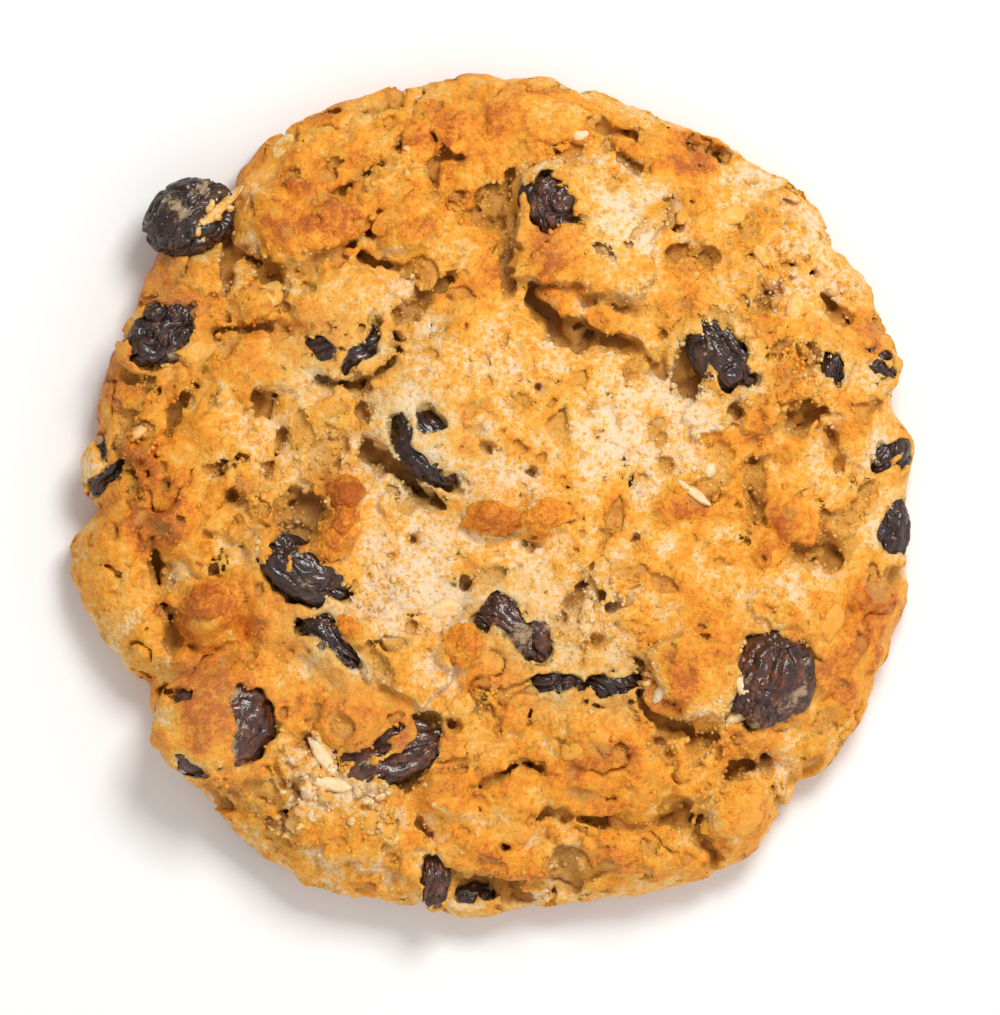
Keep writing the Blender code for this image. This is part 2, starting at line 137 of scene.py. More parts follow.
# Cracks and long hollows: half width, depth, the line they follow.
CRACKS = (
    # Round the large plate and above the middle.
    (0.50, 1.6, ((4, 23.3), (8, 22.9), (11, 21.5), (14, 20.7), (17, 20))),
    (1.00, 1.5, ((2.2, 35.5), (2.3, 31), (1.7, 28), (1.6, 25), (2.3, 22.5))),
    (0.60, 2.2, ((19.7, 32), (19.9, 30.5), (20.2, 29.2))),
    (0.60, 2.0, ((19, 18), (19, 13.7))),
    (1.20, 2.0, ((-10, 19.6), (-7.5, 21.5), (-4.8, 23.3))),
    (0.90, 2.6, ((-14, 26), (-12, 25.3), (-9, 25))),
    # Upper left.
    (0.60, 1.6, ((-6.5, 40), (-5, 38), (-6, 36), (-6, 33))),
    (0.55, 1.5, ((-20, 32.8), (-17, 33.2), (-14, 35), (-12, 35.8))),
    (0.70, 2.6, ((-29, 26), (-27, 26.3), (-24, 25), (-21, 24.6), (-19, 26), (-15.5, 27.2), (-12.8, 29.3))),
    (0.50, 2.0, ((-28.8, 29), (-29.2, 27), (-29, 24.5), (-28.8, 21))),
    (0.85, 2.0, ((-30, 18), (-27, 18.3), (-22, 18.2))),
    (0.80, 2.6, ((-18.5, 12.5), (-14.5, 12), (-11.5, 13.8), (-10, 15.8), (-10.4, 18))),
    (0.60, 1.8, ((-33, 12), (-34.5, 9), (-35, 7))),
    # Middle.
    (1.10, 2.8, ((-14, 5.2), (-11, 3.2), (-9, 1.3), (-5.5, -1))),
    (0.50, 1.8, ((-24.5, 2), (-23.5, 4.5), (-22.5, 7))),
    (0.60, 2.0, ((16, 2.5), (14.5, 0.5), (13.8, -1.5), (13, -4.3), (11.5, -7), (10.5, -9), (9, -12))),
    (0.40, 1.0, ((1, -3.9), (5, -5.4))),
    # Left rim and lower left.
    (1.00, 3.8, ((-37.3, -5), (-36.7, -8), (-36.1, -10.5), (-35.3, -13), (-34.6, -15.8))),
    (0.60, 1.8, ((-36, -21.5), (-33, -21.8))),
    (1.00, 1.8, ((-23, -34), (-23, -36))),
    (1.30, 1.8, ((-31, -32.5), (-28.5, -34.3))),
    # Right side.
    (0.55, 2.0, ((37.3, 7.3), (37.8, 5), (38.2, 3))),
    (1.20, 2.2, ((33.8, -6.0), (36, -6.4), (38, -7))),
    (1.50, 1.6, ((28.8, 3.2), (28.7, -0.4), (29, -2.6))),
    (1.10, 1.7, ((19.8, 26.3), (22, 26.5), (24.2, 25.6))),
    (0.60, 2.0, ((28, 29), (28, 25.5), (29.5, 24), (30.2, 22.3), (30, 20.5))),
    (0.50, 1.4, ((32, 25.3), (34, 25.2), (36, 24))),
    (0.70, 2.2, ((36.5, 21.8), (38.3, 19.7), (39.3, 19))),
    (0.40, 1.8, ((38.2, 11.8), (39.4, 10.8))),
    # Upper rim.
    (1.10, 2.0, ((21.9, 38.6), (25.2, 37.6))),
    (0.50, 1.5, ((11, 41), (13, 40.3), (15.5, 39.5), (16.5, 38.4))),
    (0.50, 1.5, ((7, 37.8), (9, 37.3), (10.5, 38.6))),
    (0.50, 1.5, ((13, 38.5), (15, 36.8), (16.5, 35.4))),
    # Lower part.
    (0.90, 2.8, ((-1.5, -32.5), (0, -31), (2.3, -30), (3.3, -29.2), (5.5, -30))),
    (0.45, 1.6, ((5, -35.8), (6.5, -35), (9.5, -35.2), (13, -35.7), (16, -36.8), (18.5, -36), (20, -34))),
    (0.80, 2.6, ((20, -34), (22.5, -35), (23, -37.3), (24.5, -39.5), (24.3, -41.5))),
    (0.50, 1.6, ((9.8, -32.8), (13.3, -33.4))),
    (0.50, 1.4, ((-8, -36), (-6.7, -37.3))),
    (0.40, 1.6, ((4.7, -22.5), (4.2, -25))),
    (1.10, 2.4, ((25.6, -30.9), (27.8, -29.7))),
    (0.50, 1.6, ((30, -28.5), (30.7, -31.5), (32, -34.8))),
    (0.90, 2.6, ((16.4, -19.6), (16.5, -22.5), (17.3, -24), (19, -25.3), (22, -25.6))),
    (0.50, 1.6, ((16.6, -18.6), (17.4, -16.2))),
)

# Hollows with corners of their own: depth, corners.
HOLLOWS = (
    (4.4, ((3.2, 21.5), (4.2, 22.9), (7, 21.2), (9.5, 19), (13.5, 18), (16.5, 16.6), (18.8, 14.6),
           (18.9, 13.2), (16, 15), (13, 15.8), (9, 15.5), (6, 17.2))),
    (3.8, ((-26, 22.8), (-25.3, 24.6), (-22.5, 24.8), (-22.2, 23.2), (-23.6, 22.2))),
    (2.8, ((-24, -1), (-22.5, 0.8), (-19, 0.5), (-18, -1.5), (-19, -4), (-22.5, -4.6), (-24.2, -3))),
    (2.6, ((-26.7, 9.5), (-26, 11.6), (-23.5, 11.6), (-22.4, 10), (-24, 8.3))),
    (3.6, ((20, 11.5), (20.3, 15.5), (22, 17.6), (23.8, 17.2), (24, 13), (22.5, 10.6))),
    (3.0, ((31.6, 8.2), (32.6, 10.6), (35.0, 10.8), (37.2, 9.8), (36.4, 8.0), (33.8, 6.8))),
    (2.4, ((-2.2, 30), (-1.5, 33.5), (1.8, 34.6), (2.8, 31), (2.2, 28.6), (0, 28.4))),
    (3.0, ((-4.5, -44.5), (-3.8, -41.5), (0, -41), (3.8, -42), (4, -44.5))),
    (4.2, ((18.8, -35.8), (19.6, -33.6), (21.6, -33.2), (23.6, -34.8), (23.4, -37.6), (22.2, -36.2),
           (20.4, -36.6))),
    (2.0, ((21.6, -28.4), (22, -26), (24.6, -25.8), (25, -27.4), (23.4, -28.8))),
)

# Round pits: x, y, radius, depth.
PITS = (
    (-5.0, 37.5, 0.9, 2.0), (-3.2, 37.0, 0.8, 2.0), (-14.0, 9.0, 1.2, 2.2), (-28.0, 0.0, 1.4, 3.2),
    (-38.0, -2.2, 1.0, 1.2), (-41.5, -4.0, 1.1, 1.2), (-35.3, 1.0, 1.0, 1.2), (-34.0, -3.0, 1.0, 1.2),
    (13.0, -4.3, 1.0, 3.0), (13.2, -12.5, 1.0, 1.9), (9.3, -11.8, 0.8, 1.9), (7.7, -13.6, 0.9, 1.4),
    (11.6, -16.0, 1.1, 1.8), (27.0, 9.0, 1.2, 3.6), (18.1, 7.7, 1.4, 1.6), (19.3, 3.3, 1.0, 1.8),
    (22.2, 32.2, 0.9, 1.8), (26.7, 25.4, 0.8, 1.6), (1.5, -38.7, 0.7, 1.4), (-3.3, -36.5, 0.6, 1.4),
    (-1.2, -34.3, 0.6, 1.4), (-4.0, -25.3, 0.9, 3.0), (18.3, -27.2, 1.0, 3.0), (19.8, -28.5, 0.9, 2.0),
    (-23.5, -38.8, 0.7, 1.4), (-26.3, -17.7, 0.6, 1.2), (-29.3, -18.5, 0.7, 1.2),
    (-32.5, -16.7, 0.8, 1.4), (-20.6, -27.6, 1.6, 2.2), (-13.0, 40.3, 0.6, 1.4), (-10.3, 42.6, 0.6, 1.2),
    (-10.0, 38.5, 0.8, 1.6), (-10.5, 41.3, 0.6, 1.2), (-14.8, 34.8, 0.6, 1.4), (-8.6, -5.1, 0.9, 1.8),
    (-3.4, -6.8, 0.8, 0.9), (-0.5, 5.2, 0.9, 1.4), (-2.1, 7.0, 1.0, 0.7), (11.7, 6.1, 0.8, 1.3),
    (5.4, 11.6, 0.8, 1.0), (3.2, 12.5, 0.6, 0.9), (2.6, 10.2, 0.7, 0.9), (8.3, 3.0, 0.5, 1.5),
    (4.6, 2.8, 0.5, 1.1), (-2.0, 12.1, 0.5, 1.4), (-0.9, 9.2, 0.4, 1.3), (3.3, 0.0, 0.4, 1.0),
    (0.7, -6.3, 0.4, 0.9), (10.2, -2.7, 0.5, 1.0), (8.5, 0.8, 0.7, 1.2), (-27.3, 15.7, 0.6, 1.8),
    (-16.8, 18.3, 0.5, 2.0), (-10.8, 22.3, 0.7, 2.2), (-4.6, 21.8, 0.6, 2.0), (-7.3, 13.3, 0.4, 1.0),
    (16.0, -4.9, 0.8, 1.1), (-31.0, -4.2, 0.6, 1.2), (-38.0, 7.2, 0.8, 1.6), (-36.0, 2.9, 0.6, 1.4),
    (-0.5, 16.3, 0.4, 1.4), (-3.3, 0.2, 0.4, 1.2), (35.5, 8.9, 0.6, 1.8), (19.8, -16.8, 0.4, 1.2),
    (6.2, 27.7, 0.7, 3.0), (6.3, 28.8, 0.7, 3.0), (-12.0, 31.0, 0.5, 1.0), (44.5, -9.0, 1.6, 3.0), (31.0, 16.0, 0.5, 1.0), (15.0, -12.0, 0.5, 1.0),
)

# Each raisin: three diameters, turn, tilt, share of skin that a dull film covers, film of dough over
# it in mm (below zero for none), and the openings through which it shows: half width and a line, or
# none and corners.
RAISINS = {
    "raisin_01": ((9.8, 8.4, 6.8), 35, 0, 0.22, -1.0, ()),
    "raisin_02": ((9.6, 6.4, 5.0), 35, 12, 0.05, 0.5, (
        (None, ((-40.2, 16.8), (-39, 18.2), (-36, 20.2), (-32.6, 21.6), (-31.9, 20.5), (-33, 17.5),
                (-35, 15), (-37, 13.9), (-39.5, 14.8))),)),
    "raisin_03": ((6.8, 4.6, 4.4), 70, 0, 0.30, 0.5, (
        (0.80, ((-42.9, 6.5), (-42.5, 4.2))),
        (0.65, ((-43.9, 0.2), (-42, 2), (-40.5, 3.5))))),
    "raisin_04": ((9.4, 6.4, 4.6), 15, 0, 0.30, 0.6, (
        (None, ((-20.4, 17.4), (-18.2, 17.8), (-16.2, 16.2), (-16.6, 14.2), (-19.4, 14.6))),
        (1.05, ((-12.6, 18.9), (-13.2, 16.2), (-15.6, 14.0))))),
    "raisin_05": ((10.0, 6.4, 4.6), -55, 0, 0.20, 0.6, (
        (None, ((-8.0, 7.3), (-6.6, 10.2), (-4.7, 7.3), (-7.4, 6.5))),
        (1.00, ((-9.8, 7.6), (-9.3, 4.6), (-7.4, 2.4), (-4.5, 1.1))))),
    "raisin_06": ((7.8, 6.4, 5.2), 80, 0, 0.15, 0.4, (
        (None, ((3.9, 30.2), (4, 33.6), (5.6, 35.4), (7.6, 35.0), (9, 33.2), (9.2, 31.4), (10.8, 30.4),
                (9.6, 29.4), (7.8, 29.6), (6.8, 27.8), (5.6, 28.4))),)),
    "raisin_07": ((10.2, 6.4, 5.0), -55, 0, 0.05, 0.4, (
        (None, ((22.1, 15.8), (23.3, 17.0), (25.0, 17.8), (26.9, 17.6), (28.1, 15.9), (28.4, 14.2), (29.1, 12.4),
                (28.3, 11.7), (27.2, 12.4), (26.6, 10.7), (25.2, 10.7), (24.8, 12.6), (24.0, 14.3))),)),
    "raisin_08": ((4.8, 3.8, 3.6), 80, 0, 0.00, 0.4, (
        (None, ((36.6, 15.9), (37.9, 15.6), (38.7, 14.4), (38.5, 13), (37, 13.2))),)),
    "raisin_09": ((6.4, 4.8, 4.2), 100, 0, 0.30, 0.4, (
        (0.50, ((41.1, 16.2), (43.7, 15.1))),
        (0.55, ((42.8, 14.3), (44.2, 13.3))))),
    "raisin_10": ((5.6, 4.6, 4.2), 40, 0, 0.10, 0.4, (
        (0.75, ((42.7, 3), (43.9, 4.6), (45.6, 5.6))),
        (0.60, ((43.4, 3.2), (45.6, 3.9))))),
    "raisin_11": ((8.6, 5.8, 5.2), 95, 0, 0.10, 0.3, (
        (None, ((44.2, -0.4), (46.6, -0.6), (46.6, -6.4), (43.6, -5.8), (42.8, -4), (43.6, -1.8))),)),
    "raisin_12": ((11.4, 6.4, 4.8), -30, 0, 0.05, 0.5, (
        (1.40, ((-20.9, -4.8), (-23.2, -6.2), (-23.6, -8.8), (-21.8, -10.8), (-19.6, -11.2))),
        (1.25, ((-20.3, -7.6), (-18.3, -8.9), (-16.0, -10.6))))),
    "raisin_13": ((9.0, 5.2, 4.4), -45, 0, 0.35, 0.5, (
        (1.25, ((-20.4, -14.4), (-18.6, -14.0), (-17.2, -15.4))),
        (0.95, ((-17.2, -15.4), (-15.4, -17.8))))),
    "raisin_14": ((10.0, 6.4, 4.8), -45, 0, 0.30, 0.5, (
        (1.80, ((0.8, -12.4), (2.5, -14.2), (5.2, -16.8))),
        (0.80, ((-2.7, -9.2), (-2.4, -9.5))),
        (0.80, ((-1.2, -13.6), (-0.6, -14.2))))),
    "raisin_15": ((6.4, 4.4, 4.2), 0, 0, 0.30, 0.4, (
        (0.85, ((5.2, -20.5), (9.8, -20.8))),)),
    "raisin_16": ((5.8, 4.6, 4.2), -10, 0, 0.25, 0.4, (
        (1.05, ((11.2, -20.4), (12.8, -21.1), (15.4, -20.6))),)),
    "raisin_17": ((10.8, 9.0, 6.6), 70, 0, 0.05, -1.0, (
        (None, ((27.2, -16.8), (28.6, -15.4), (31.5, -14.8), (34.2, -16.4), (35.2, -19), (34.5, -22.5),
                (32, -24.8), (28.5, -25.4), (26.2, -24.6), (27.6, -20.8))),)),
    "raisin_18": ((12.4, 11.0, 6.2), 10, 0, 0.10, 0.6, (
        (None, ((-27.6, -20.6), (-25.0, -21.2), (-23.4, -23.5), (-23.3, -26.5), (-25.0, -29.2),
                (-27.8, -29.8), (-28.4, -27.6), (-27.2, -25.0), (-28.6, -22.8))),
        (0.45, ((-28.5, -30.4), (-31.0, -30.9), (-33.6, -30.0))))),
    "raisin_19": ((11.8, 7.4, 5.4), 20, 0, 0.10, 0.4, (
        (None, ((-16.8, -28.2), (-13.2, -27.2), (-9.9, -24.6), (-9.3, -25.5), (-12.4, -28.0),
                (-12.9, -28.9), (-15.8, -29.4))),
        (None, ((-13.0, -29.2), (-10.0, -28.5), (-8.2, -26.4), (-8.6, -24.2), (-6.0, -24.0),
                (-4.6, -26.5), (-6.4, -30), (-9, -33.2), (-11.5, -31.6), (-14.9, -31.1),
                (-16.2, -29.4))))),
    "raisin_20": ((6.2, 3.8, 4.4), 88, 0, 0.30, 0.3, (
        (None, ((-7.3, -39.8), (-5.8, -39.5), (-4.7, -41.5), (-5, -45), (-7.2, -45), (-7.5, -42))),)),
    "raisin_21": ((6.8, 4.0, 3.6), -5, 0, 0.40, 0.3, ()),
}

# Where a film of dough or sugar clouds a raisin: x, y, radius, amount.
FILMS = {
    "raisin_01": ((-33.8, 31.0, 1.2, 0.7), (-31.5, 33.6, 1.3, 0.6), (-35.5, 32.5, 1.0, 0.5)),
    "raisin_02": ((-34.2, 15.4, 1.2, 0.8),),
    "raisin_07": ((24.2, 16.6, 1.2, 0.6),),
    "raisin_14": ((3.5, -15.0, 1.8, 0.5),),
    "raisin_17": ((34.8, -18.6, 1.2, 0.5), (34.2, -21.6, 1.2, 0.7), (32.4, -23.2, 1.6, 0.6), (29.0, -24.8, 1.4, 0.7),
                  (28.4, -20.4, 0.9, 0.7)),
    "raisin_18": ((-28.0, -22.0, 1.2, 0.6), (-28.0, -25.0, 1.3, 0.5), (-28.6, -28.0, 1.8, 0.8)),
    "raisin_19": ((-8.0, -31.5, 1.4, 0.6), (-13.5, -29.8, 1.2, 0.5)),
}

# Raisins that are more red-brown than black.
WARM_RAISINS = ("raisin_06", "raisin_14", "raisin_17", "raisin_18", "raisin_19", "raisin_20")

# Raisins whose juice clouds the dough round them.
STAINING_RAISINS = ("raisin_04", "raisin_05", "raisin_13", "raisin_14", "raisin_15", "raisin_16")

# Rounder raisins, with less of the deep folds: share of them that is left.
FOLDS = {"raisin_01": 0.5, "raisin_17": 0.30, "raisin_18": 0.15}

# How far a raisin's skin lies from the middle of its solid, mm.
SHIFTS = {"raisin_18": (-2.8, 0.3, 0.2), "raisin_17": (0.2, 0.0, 0.2)}

# Browner places of the crust, and places painted darker as shade or paler as light: x, y, radius, amount (below zero
# for a paler one).
BROWNING_AND_PAINTED_LIGHT = (
    (0.4, -2.4, 2.8, 0.58), (5.6, -2.4, 2.6, 0.52), (-15.7, 0.2, 1.9, 0.70), (-16.9, -4.2, 2.6, 0.50),
    (21.3, -2.0, 4.0, 0.45), (33.0, -3.2, 3.4, 0.30), (-3.0, -16.4, 3.0, 0.40), (-15.6, -14.3, 1.6, 0.34), (-14.2, -16.2, 1.6, 0.30), (-12.6, -18.2, 2.2, 0.22),
    (-30.6, -11.8, 2.3, 0.46), (0.2, 41.0, 2.6, 0.38), (-10.5, 31.0, 5.0, 0.30),
    (-22.5, 30.5, 6.0, 0.25), (-25.0, 36.5, 6.0, 0.25), (9.5, 23.8, 3.6, 0.28), (6.8, 27.0, 3.0, 0.10),
    (-37.5, 22.5, 4.5, 0.28), (-41.0, 12.0, 5.0, 0.30), (-31.8, -21.8, 4.0, 0.25), (22.4, -19.2, 3.6, 0.26), (-31.0, -25.0, 4.8, 0.34),
    (43.0, -13.6, 4.5, 0.32), (38.0, -22.0, 6.0, 0.22), (12.0, -41.0, 8.0, 0.10), (10.5, -27.0, 4.5, 0.28),
    (30.0, -36.5, 5.0, 0.18), (27.8, 8.0, 2.6, 0.30), (23.4, 9.6, 2.2, 0.20), (33.0, 17.5, 3.0, 0.20),
    (24.0, 38.0, 3.0, 0.35), (42.0, 19.5, 4.0, 0.30), (-4.4, -33.2, 3.2, 0.25), (20.0, 22.0, 5.0, 0.12),
    # On the next line, the wide place at (30, 22) is paler as painted light, brighter towards the upper right where the
    # light comes from.
    (6.0, 10.0, 9.0, -0.06), (15.0, 29.6, 4.2, -0.42), (13.5, 33.0, 3.0, -0.22), (30.0, 22.0, 14.0, -0.13), (42.0, 4.0, 7.0, -0.14),
    # On the next line, (-24, -39) and (38.5, -26) are paler as painted light on rims that turn away from the light;
    # (-24, -13.5), (-12, -24) and (-28, -15.5) are darker as painted shade in the low ground there.
    (-24.0, -39.0, 8.0, -0.08), (38.5, -26.0, 7.0, -0.16), (-24.0, -13.5, 6.0, 0.20), (-12.0, -24.0, 5.0, 0.10), (-28.0, -15.5, 3.0, 0.10), (-40.0, 2.0, 6.0, 0.16),
    # On the next line, (-11, -22) is darker partly as painted shade beside the raisin and partly as browner crust.
    (-5.0, 37.0, 7.0, 0.12), (-11.0, -22.0, 5.0, 0.16), (-17.0, -32.0, 3.5, -0.30), (-12.5, -33.5, 2.5, -0.28),
    (-21.0, -29.5, 2.5, -0.22), (2.0, -24.0, 6.0, 0.06), (-8.0, -28.0, 5.0, 0.10), (-36.0, 2.0, 6.0, 0.10),
    # On the next line, (12, -39) is paler as painted light on the rim.
    (0.0, 46.0, 10.0, 0.10), (12.0, -39.0, 8.0, -0.06), (11.5, 29.0, 2.4, -0.15), (17.5, 8.0, 5.0, -0.20),
    (-21.0, 4.5, 4.0, -0.12), (31.5, -12.6, 3.4, -0.30), (12.5, -13.0, 4.0, -0.22), (-9.0, 2.0, 4.0, -0.12),
    (-5.0, -8.0, 6.0, -0.14), (8.0, 44.0, 5.0, -0.18), (-10.0, -12.5, 4.0, -0.20), (16.5, -20.5, 2.4, -0.20),
    (-22.0, -31.0, 4.0, -0.28), (-26.0, 14.0, 5.0, -0.06), (31.5, 34.0, 5.0, -0.10), (-15.0, 21.5, 5.0, -0.12),
)

# Oat flakes: x, y, length, width, turn, lean in degrees, how browned.
FLAKES = (
    (-29.9, 31.2, 7.4, 1.3, 46, 4, 0.26), (22.4, 0.2, 4.6, 1.1, -38, 12, 0.08), (24.1, 2.7, 1.8, 1.4, 75, 5, 0.04),
    (10.7, -13.4, 4.0, 1.7, 86, 20, 0.14), (-18.3, -28.8, 5.0, 1.8, -52, 10, 0.0),
    (-18.0, -31.6, 5.6, 1.7, -12, 10, 0.03), (18.6, -21.8, 2.4, 1.2, 60, 15, 0.02),
    (9.9, 39.4, 2.0, 1.2, 20, 15, 0.05), (-22.6, 38.3, 3.4, 1.9, 60, 10, 0.22),
    (-3.0, -23.2, 3.4, 2.4, 40, 10, 0.34),
    (-38.8, 6.8, 2.6, 1.4, 30, 10, 0.20), (9.2, -27.9, 3.2, 2.2, 20, 8, 0.45), (12.0, -26.4, 3.0, 2.2, -30, 8, 0.50),
    (29.7, 26.5, 3.0, 1.6, -60, 14, 0.26), (27.8, -21.2, 3.4, 1.5, -62, 18, 0.06),
    (27.9, -24.0, 4.4, 1.4, -155, 14, 0.06), (28.4, -35.0, 5.6, 3.2, 62, 6, 0.52), (-10.8, 30.0, 4.4, 2.8, 30, 6, 0.52),
    (-32.0, 15.5, 4.0, 2.6, 20, 8, 0.35), (-5.0, -12.5, 3.4, 2.2, 10, 8, 0.15),
    (37.5, -14.0, 4.0, 2.4, 70, 8, 0.50), (-24.0, 21.8, 3.6, 2.4, 60, 8, 0.30),
    (33.5, 20.6, 3.6, 2.0, 80, 8, 0.28), (26.4, 30.6, 3.6, 2.2, 20, 8, 0.30), (-12.5, -36.0, 4.4, 2.8, -30, 6, 0.42),
    (-20.5, -35.5, 4.0, 2.6, 35, 8, 0.30), (2.5, -36.8, 4.0, 2.6, -20, 8, 0.50), 
)

# Well browned lumps: x, y, half length, half width, turn in degrees, half height, how browned.
NUBS = (
    (-15.7, 0.2, 1.8, 1.7, 0, 2.3, 1.12), (-16.0, -2.4, 2.3, 1.3, 80, 1.5, 0.96),
    (-17.0, -5.0, 2.5, 1.7, 60, 1.5, 0.84), (0.3, -2.5, 3.0, 1.9, -8, 1.1, 0.90),
    (5.6, -2.4, 2.7, 1.7, 10, 1.0, 0.84), (-31.2, -11.8, 2.6, 2.1, 20, 1.8, 1.00),
    (-3.0, -16.4, 2.2, 2.2, 0, 1.0, 0.78), (-15.6, -14.4, 1.7, 1.0, -50, 1.0, 0.84),
)

# Where loose crumbs cling: x, y, spread, how many, mean radius.
CRUMBS = (
    (-18.5, -32.0, 4.0, 22, 0.46), (-12.8, -32.8, 2.4, 14, 0.44),
    (-31.8, 29.4, 1.0, 8, 0.36), (-29.6, 31.8, 1.0, 8, 0.36), (17.5, -20.2, 1.2, 12, 0.34),
    (25.4, -24.4, 1.6, 14, 0.24), (12.0, 29.0, 2.0, 8, 0.18), (-23.0, -36.0, 2.6, 14, 0.36),
    (36.0, 14.0, 3.0, 10, 0.22), (-25.0, -6.0, 0.6, 4, 0.26), (-30.0, 31.0, 2.0, 8, 0.20),
    (24.0, 1.5, 2.0, 8, 0.20), (10.5, 38.6, 1.0, 5, 0.20), (-6.4, -33.4, 1.6, 8, 0.24),
)


def smoothstep(value):
    """A soft ramp from 0 to 1."""
    part = np.clip(value, 0.0, 1.0)
    return part * part * (3.0 - 2.0 * part)


def smooth_max(first, second, blend):
    """The larger of two fields, rounded where they meet."""
    overlap = np.maximum(blend - np.abs(first - second), 0.0)
    return np.maximum(first, second) + overlap * overlap / (4.0 * blend)


def smooth_min(first, second, blend):
    """The smaller of two fields, rounded where they meet."""
    return -smooth_max(-first, -second, blend)


def outline_radius(angle):
    """The outline's radius, mm, at each angle in radians, eased between the listed points."""
    turns = np.array([row[0] for row in OUTLINE], float)
    radii = np.array([row[1] for row in OUTLINE], float)
    degrees = np.degrees(angle) % 360.0
    after = np.searchsorted(turns, degrees, side="right")
    before = after - 1
    start = turns[before]
    end = np.append(turns, 360.0)[after]
    share = smoothstep((degrees - start) / (end - start))
    return radii[before] * (1.0 - share) + np.append(radii, radii[0])[after] * share


def rim_share(x, y):
    """How far out a point lies: 0 at the middle, 1 on the outline."""
    return np.hypot(x, y) / outline_radius(np.arctan2(y, x))


def dome_height(share):
    """The smooth top's height, which turns down to the widest line at the rim."""
    crown = DOME_HEIGHT - (DOME_HEIGHT - SHOULDER_HEIGHT) * share**2
    roundness = np.sqrt(np.clip(1.0 - share**RIM_POWER, 0.0, 1.0))
    return WIDEST_HEIGHT + (crown - WIDEST_HEIGHT) * roundness


def tuck_height(share):
    """The underside's height: flat, then curving up to the widest line."""
    run = np.clip((share - BASE_SHARE) / (1.0 - BASE_SHARE), 0.0, 1.0)
    return WIDEST_HEIGHT * (1.0 - np.sqrt(1.0 - run**2))


def mound_height(x, y):
    """The soft lumps and hollows, summed."""
    total = np.zeros_like(x)
    for centre_x, centre_y, long_radius, short_radius, turn, height, flank in MOUNDS:
        angle = math.radians(turn)
        along = (x - centre_x) * math.cos(angle) + (y - centre_y) * math.sin(angle)
        across = (y - centre_y) * math.cos(angle) - (x - centre_x) * math.sin(angle)
        reach = np.hypot(along / long_radius, across / short_radius)
        total += height * smoothstep((1.0 - reach) / flank)
    return total


def line_distance(x, y, line):
    """The distance from each point to a line of straight stretches."""
    nearest = np.full_like(x, np.inf)
    for (start_x, start_y), (end_x, end_y) in zip(line, line[1:]):
        run_x = end_x - start_x
        run_y = end_y - start_y
        share = ((x - start_x) * run_x + (y - start_y) * run_y) / (run_x**2 + run_y**2)
        share = np.clip(share, 0.0, 1.0)
        gap = np.hypot(x - start_x - share * run_x, y - start_y - share * run_y)
        nearest = np.minimum(nearest, gap)
    return nearest


def corners_distance(x, y, corners):
    """The distance to a closed outline, below zero inside it."""
    closed = (*corners, corners[0])
    inside = np.zeros(x.shape, bool)
    for (start_x, start_y), (end_x, end_y) in zip(closed, closed[1:]):
        if start_y == end_y:
            continue
        crossing = (start_y > y) != (end_y > y)
        reach = start_x + (y - start_y) * (end_x - start_x) / (end_y - start_y)
        inside ^= crossing & (x < reach)
    distance = line_distance(x, y, closed)
    return np.where(inside, -distance, distance)


def shape_distance(x, y, half_width, points):
    """The distance to a thick line, or to a closed outline where there is no width."""
    if half_width is None:
        return corners_distance(x, y, points)
    return line_distance(x, y, points) - half_width


class Grid:
    """The voxels' places, and the noise that is laid over them."""

    def __init__(self):
        self.axes = [np.arange(low, high, VOXEL) for low, high in zip(GRID_LOW, GRID_HIGH)]
        self.shape = tuple(len(axis) for axis in self.axes)
        self.x, self.y = np.meshgrid(self.axes[0], self.axes[1], indexing="ij")
        self.z = self.axes[2][None, None, :]

    def window(self, low_x, high_x, low_y, high_y):
        """The slices that hold a patch of the plan."""
        slices = []
        for axis, low, high in ((0, low_x, high_x), (1, low_y, high_y)):
            first = max(0, int((low - GRID_LOW[axis]) / VOXEL))
            last = min(self.shape[axis], int((high - GRID_LOW[axis]) / VOXEL) + 2)
            slices.append(slice(first, last))
        return tuple(slices)

    def window_round(self, points, margin):
        """The slices that hold some points of the plan with a margin."""
        across = [point[0] for point in points]
        along = [point[1] for point in points]
        return self.window(min(across) - margin, max(across) + margin, min(along) - margin, max(along) + margin)

    def spline_weights(self, axis, step):
        """What each lattice point adds to each voxel along one axis, by a cubic B-spline."""
        place = (self.axes[axis] - GRID_LOW[axis]) / step
        lattice = np.arange(-1, int(place[-1]) + 4)
        gap = np.abs(place[:, None] - lattice[None, :])
        near = 2.0 / 3.0 - gap**2 + gap**3 / 2.0
        far = np.clip(2.0 - gap, 0.0, None) ** 3 / 6.0
        return np.where(gap < 1.0, near, far).astype(np.float32)

    def noise(self, step, seed):
        """Smooth noise of about unit spread, with lumps about two steps across."""
        weights = [self.spline_weights(axis, step) for axis in range(3)]
        counts = [weight.shape[1] for weight in weights]
        lattice = np.random.default_rng(seed).standard_normal(counts, np.float32)
        field = np.tensordot(weights[0], lattice, (1, 0))
        field = np.matmul(weights[1][None], field)
        field = np.matmul(field, weights[2].T)
        return field / field.std()


def body_field(grid):
    """The distance to the smooth body, from its profile swept round the outline."""
    shares = np.concatenate([np.linspace(0.0, 0.85, 30), 1.0 - 0.15 * np.linspace(1.0, 0.0, 60)[1:] ** 2])
    top = np.column_stack([shares * MEAN_RADIUS, dome_height(shares)])
    under = np.column_stack([shares * MEAN_RADIUS, tuck_height(shares)])
    profile = np.concatenate([top, under[-2::-1], [(-2.0, 0.0)]])
    profile = np.concatenate([[(-2.0, DOME_HEIGHT)], profile])
    step = 0.25
    across = np.arange(0.0, 1.5 * MEAN_RADIUS, step)
    table_x, table_z = np.meshgrid(across, grid.axes[2], indexing="ij")
    table = corners_distance(table_x, table_z, [tuple(point) for point in profile]).astype(np.float32)
    place = rim_share(grid.x, grid.y) * MEAN_RADIUS / step
    place = np.minimum(place, len(across) - 2.001)
    before = place.astype(int)
    share = (place - before)[..., None].astype(np.float32)
    return table[before] * (1.0 - share) + table[before + 1] * share


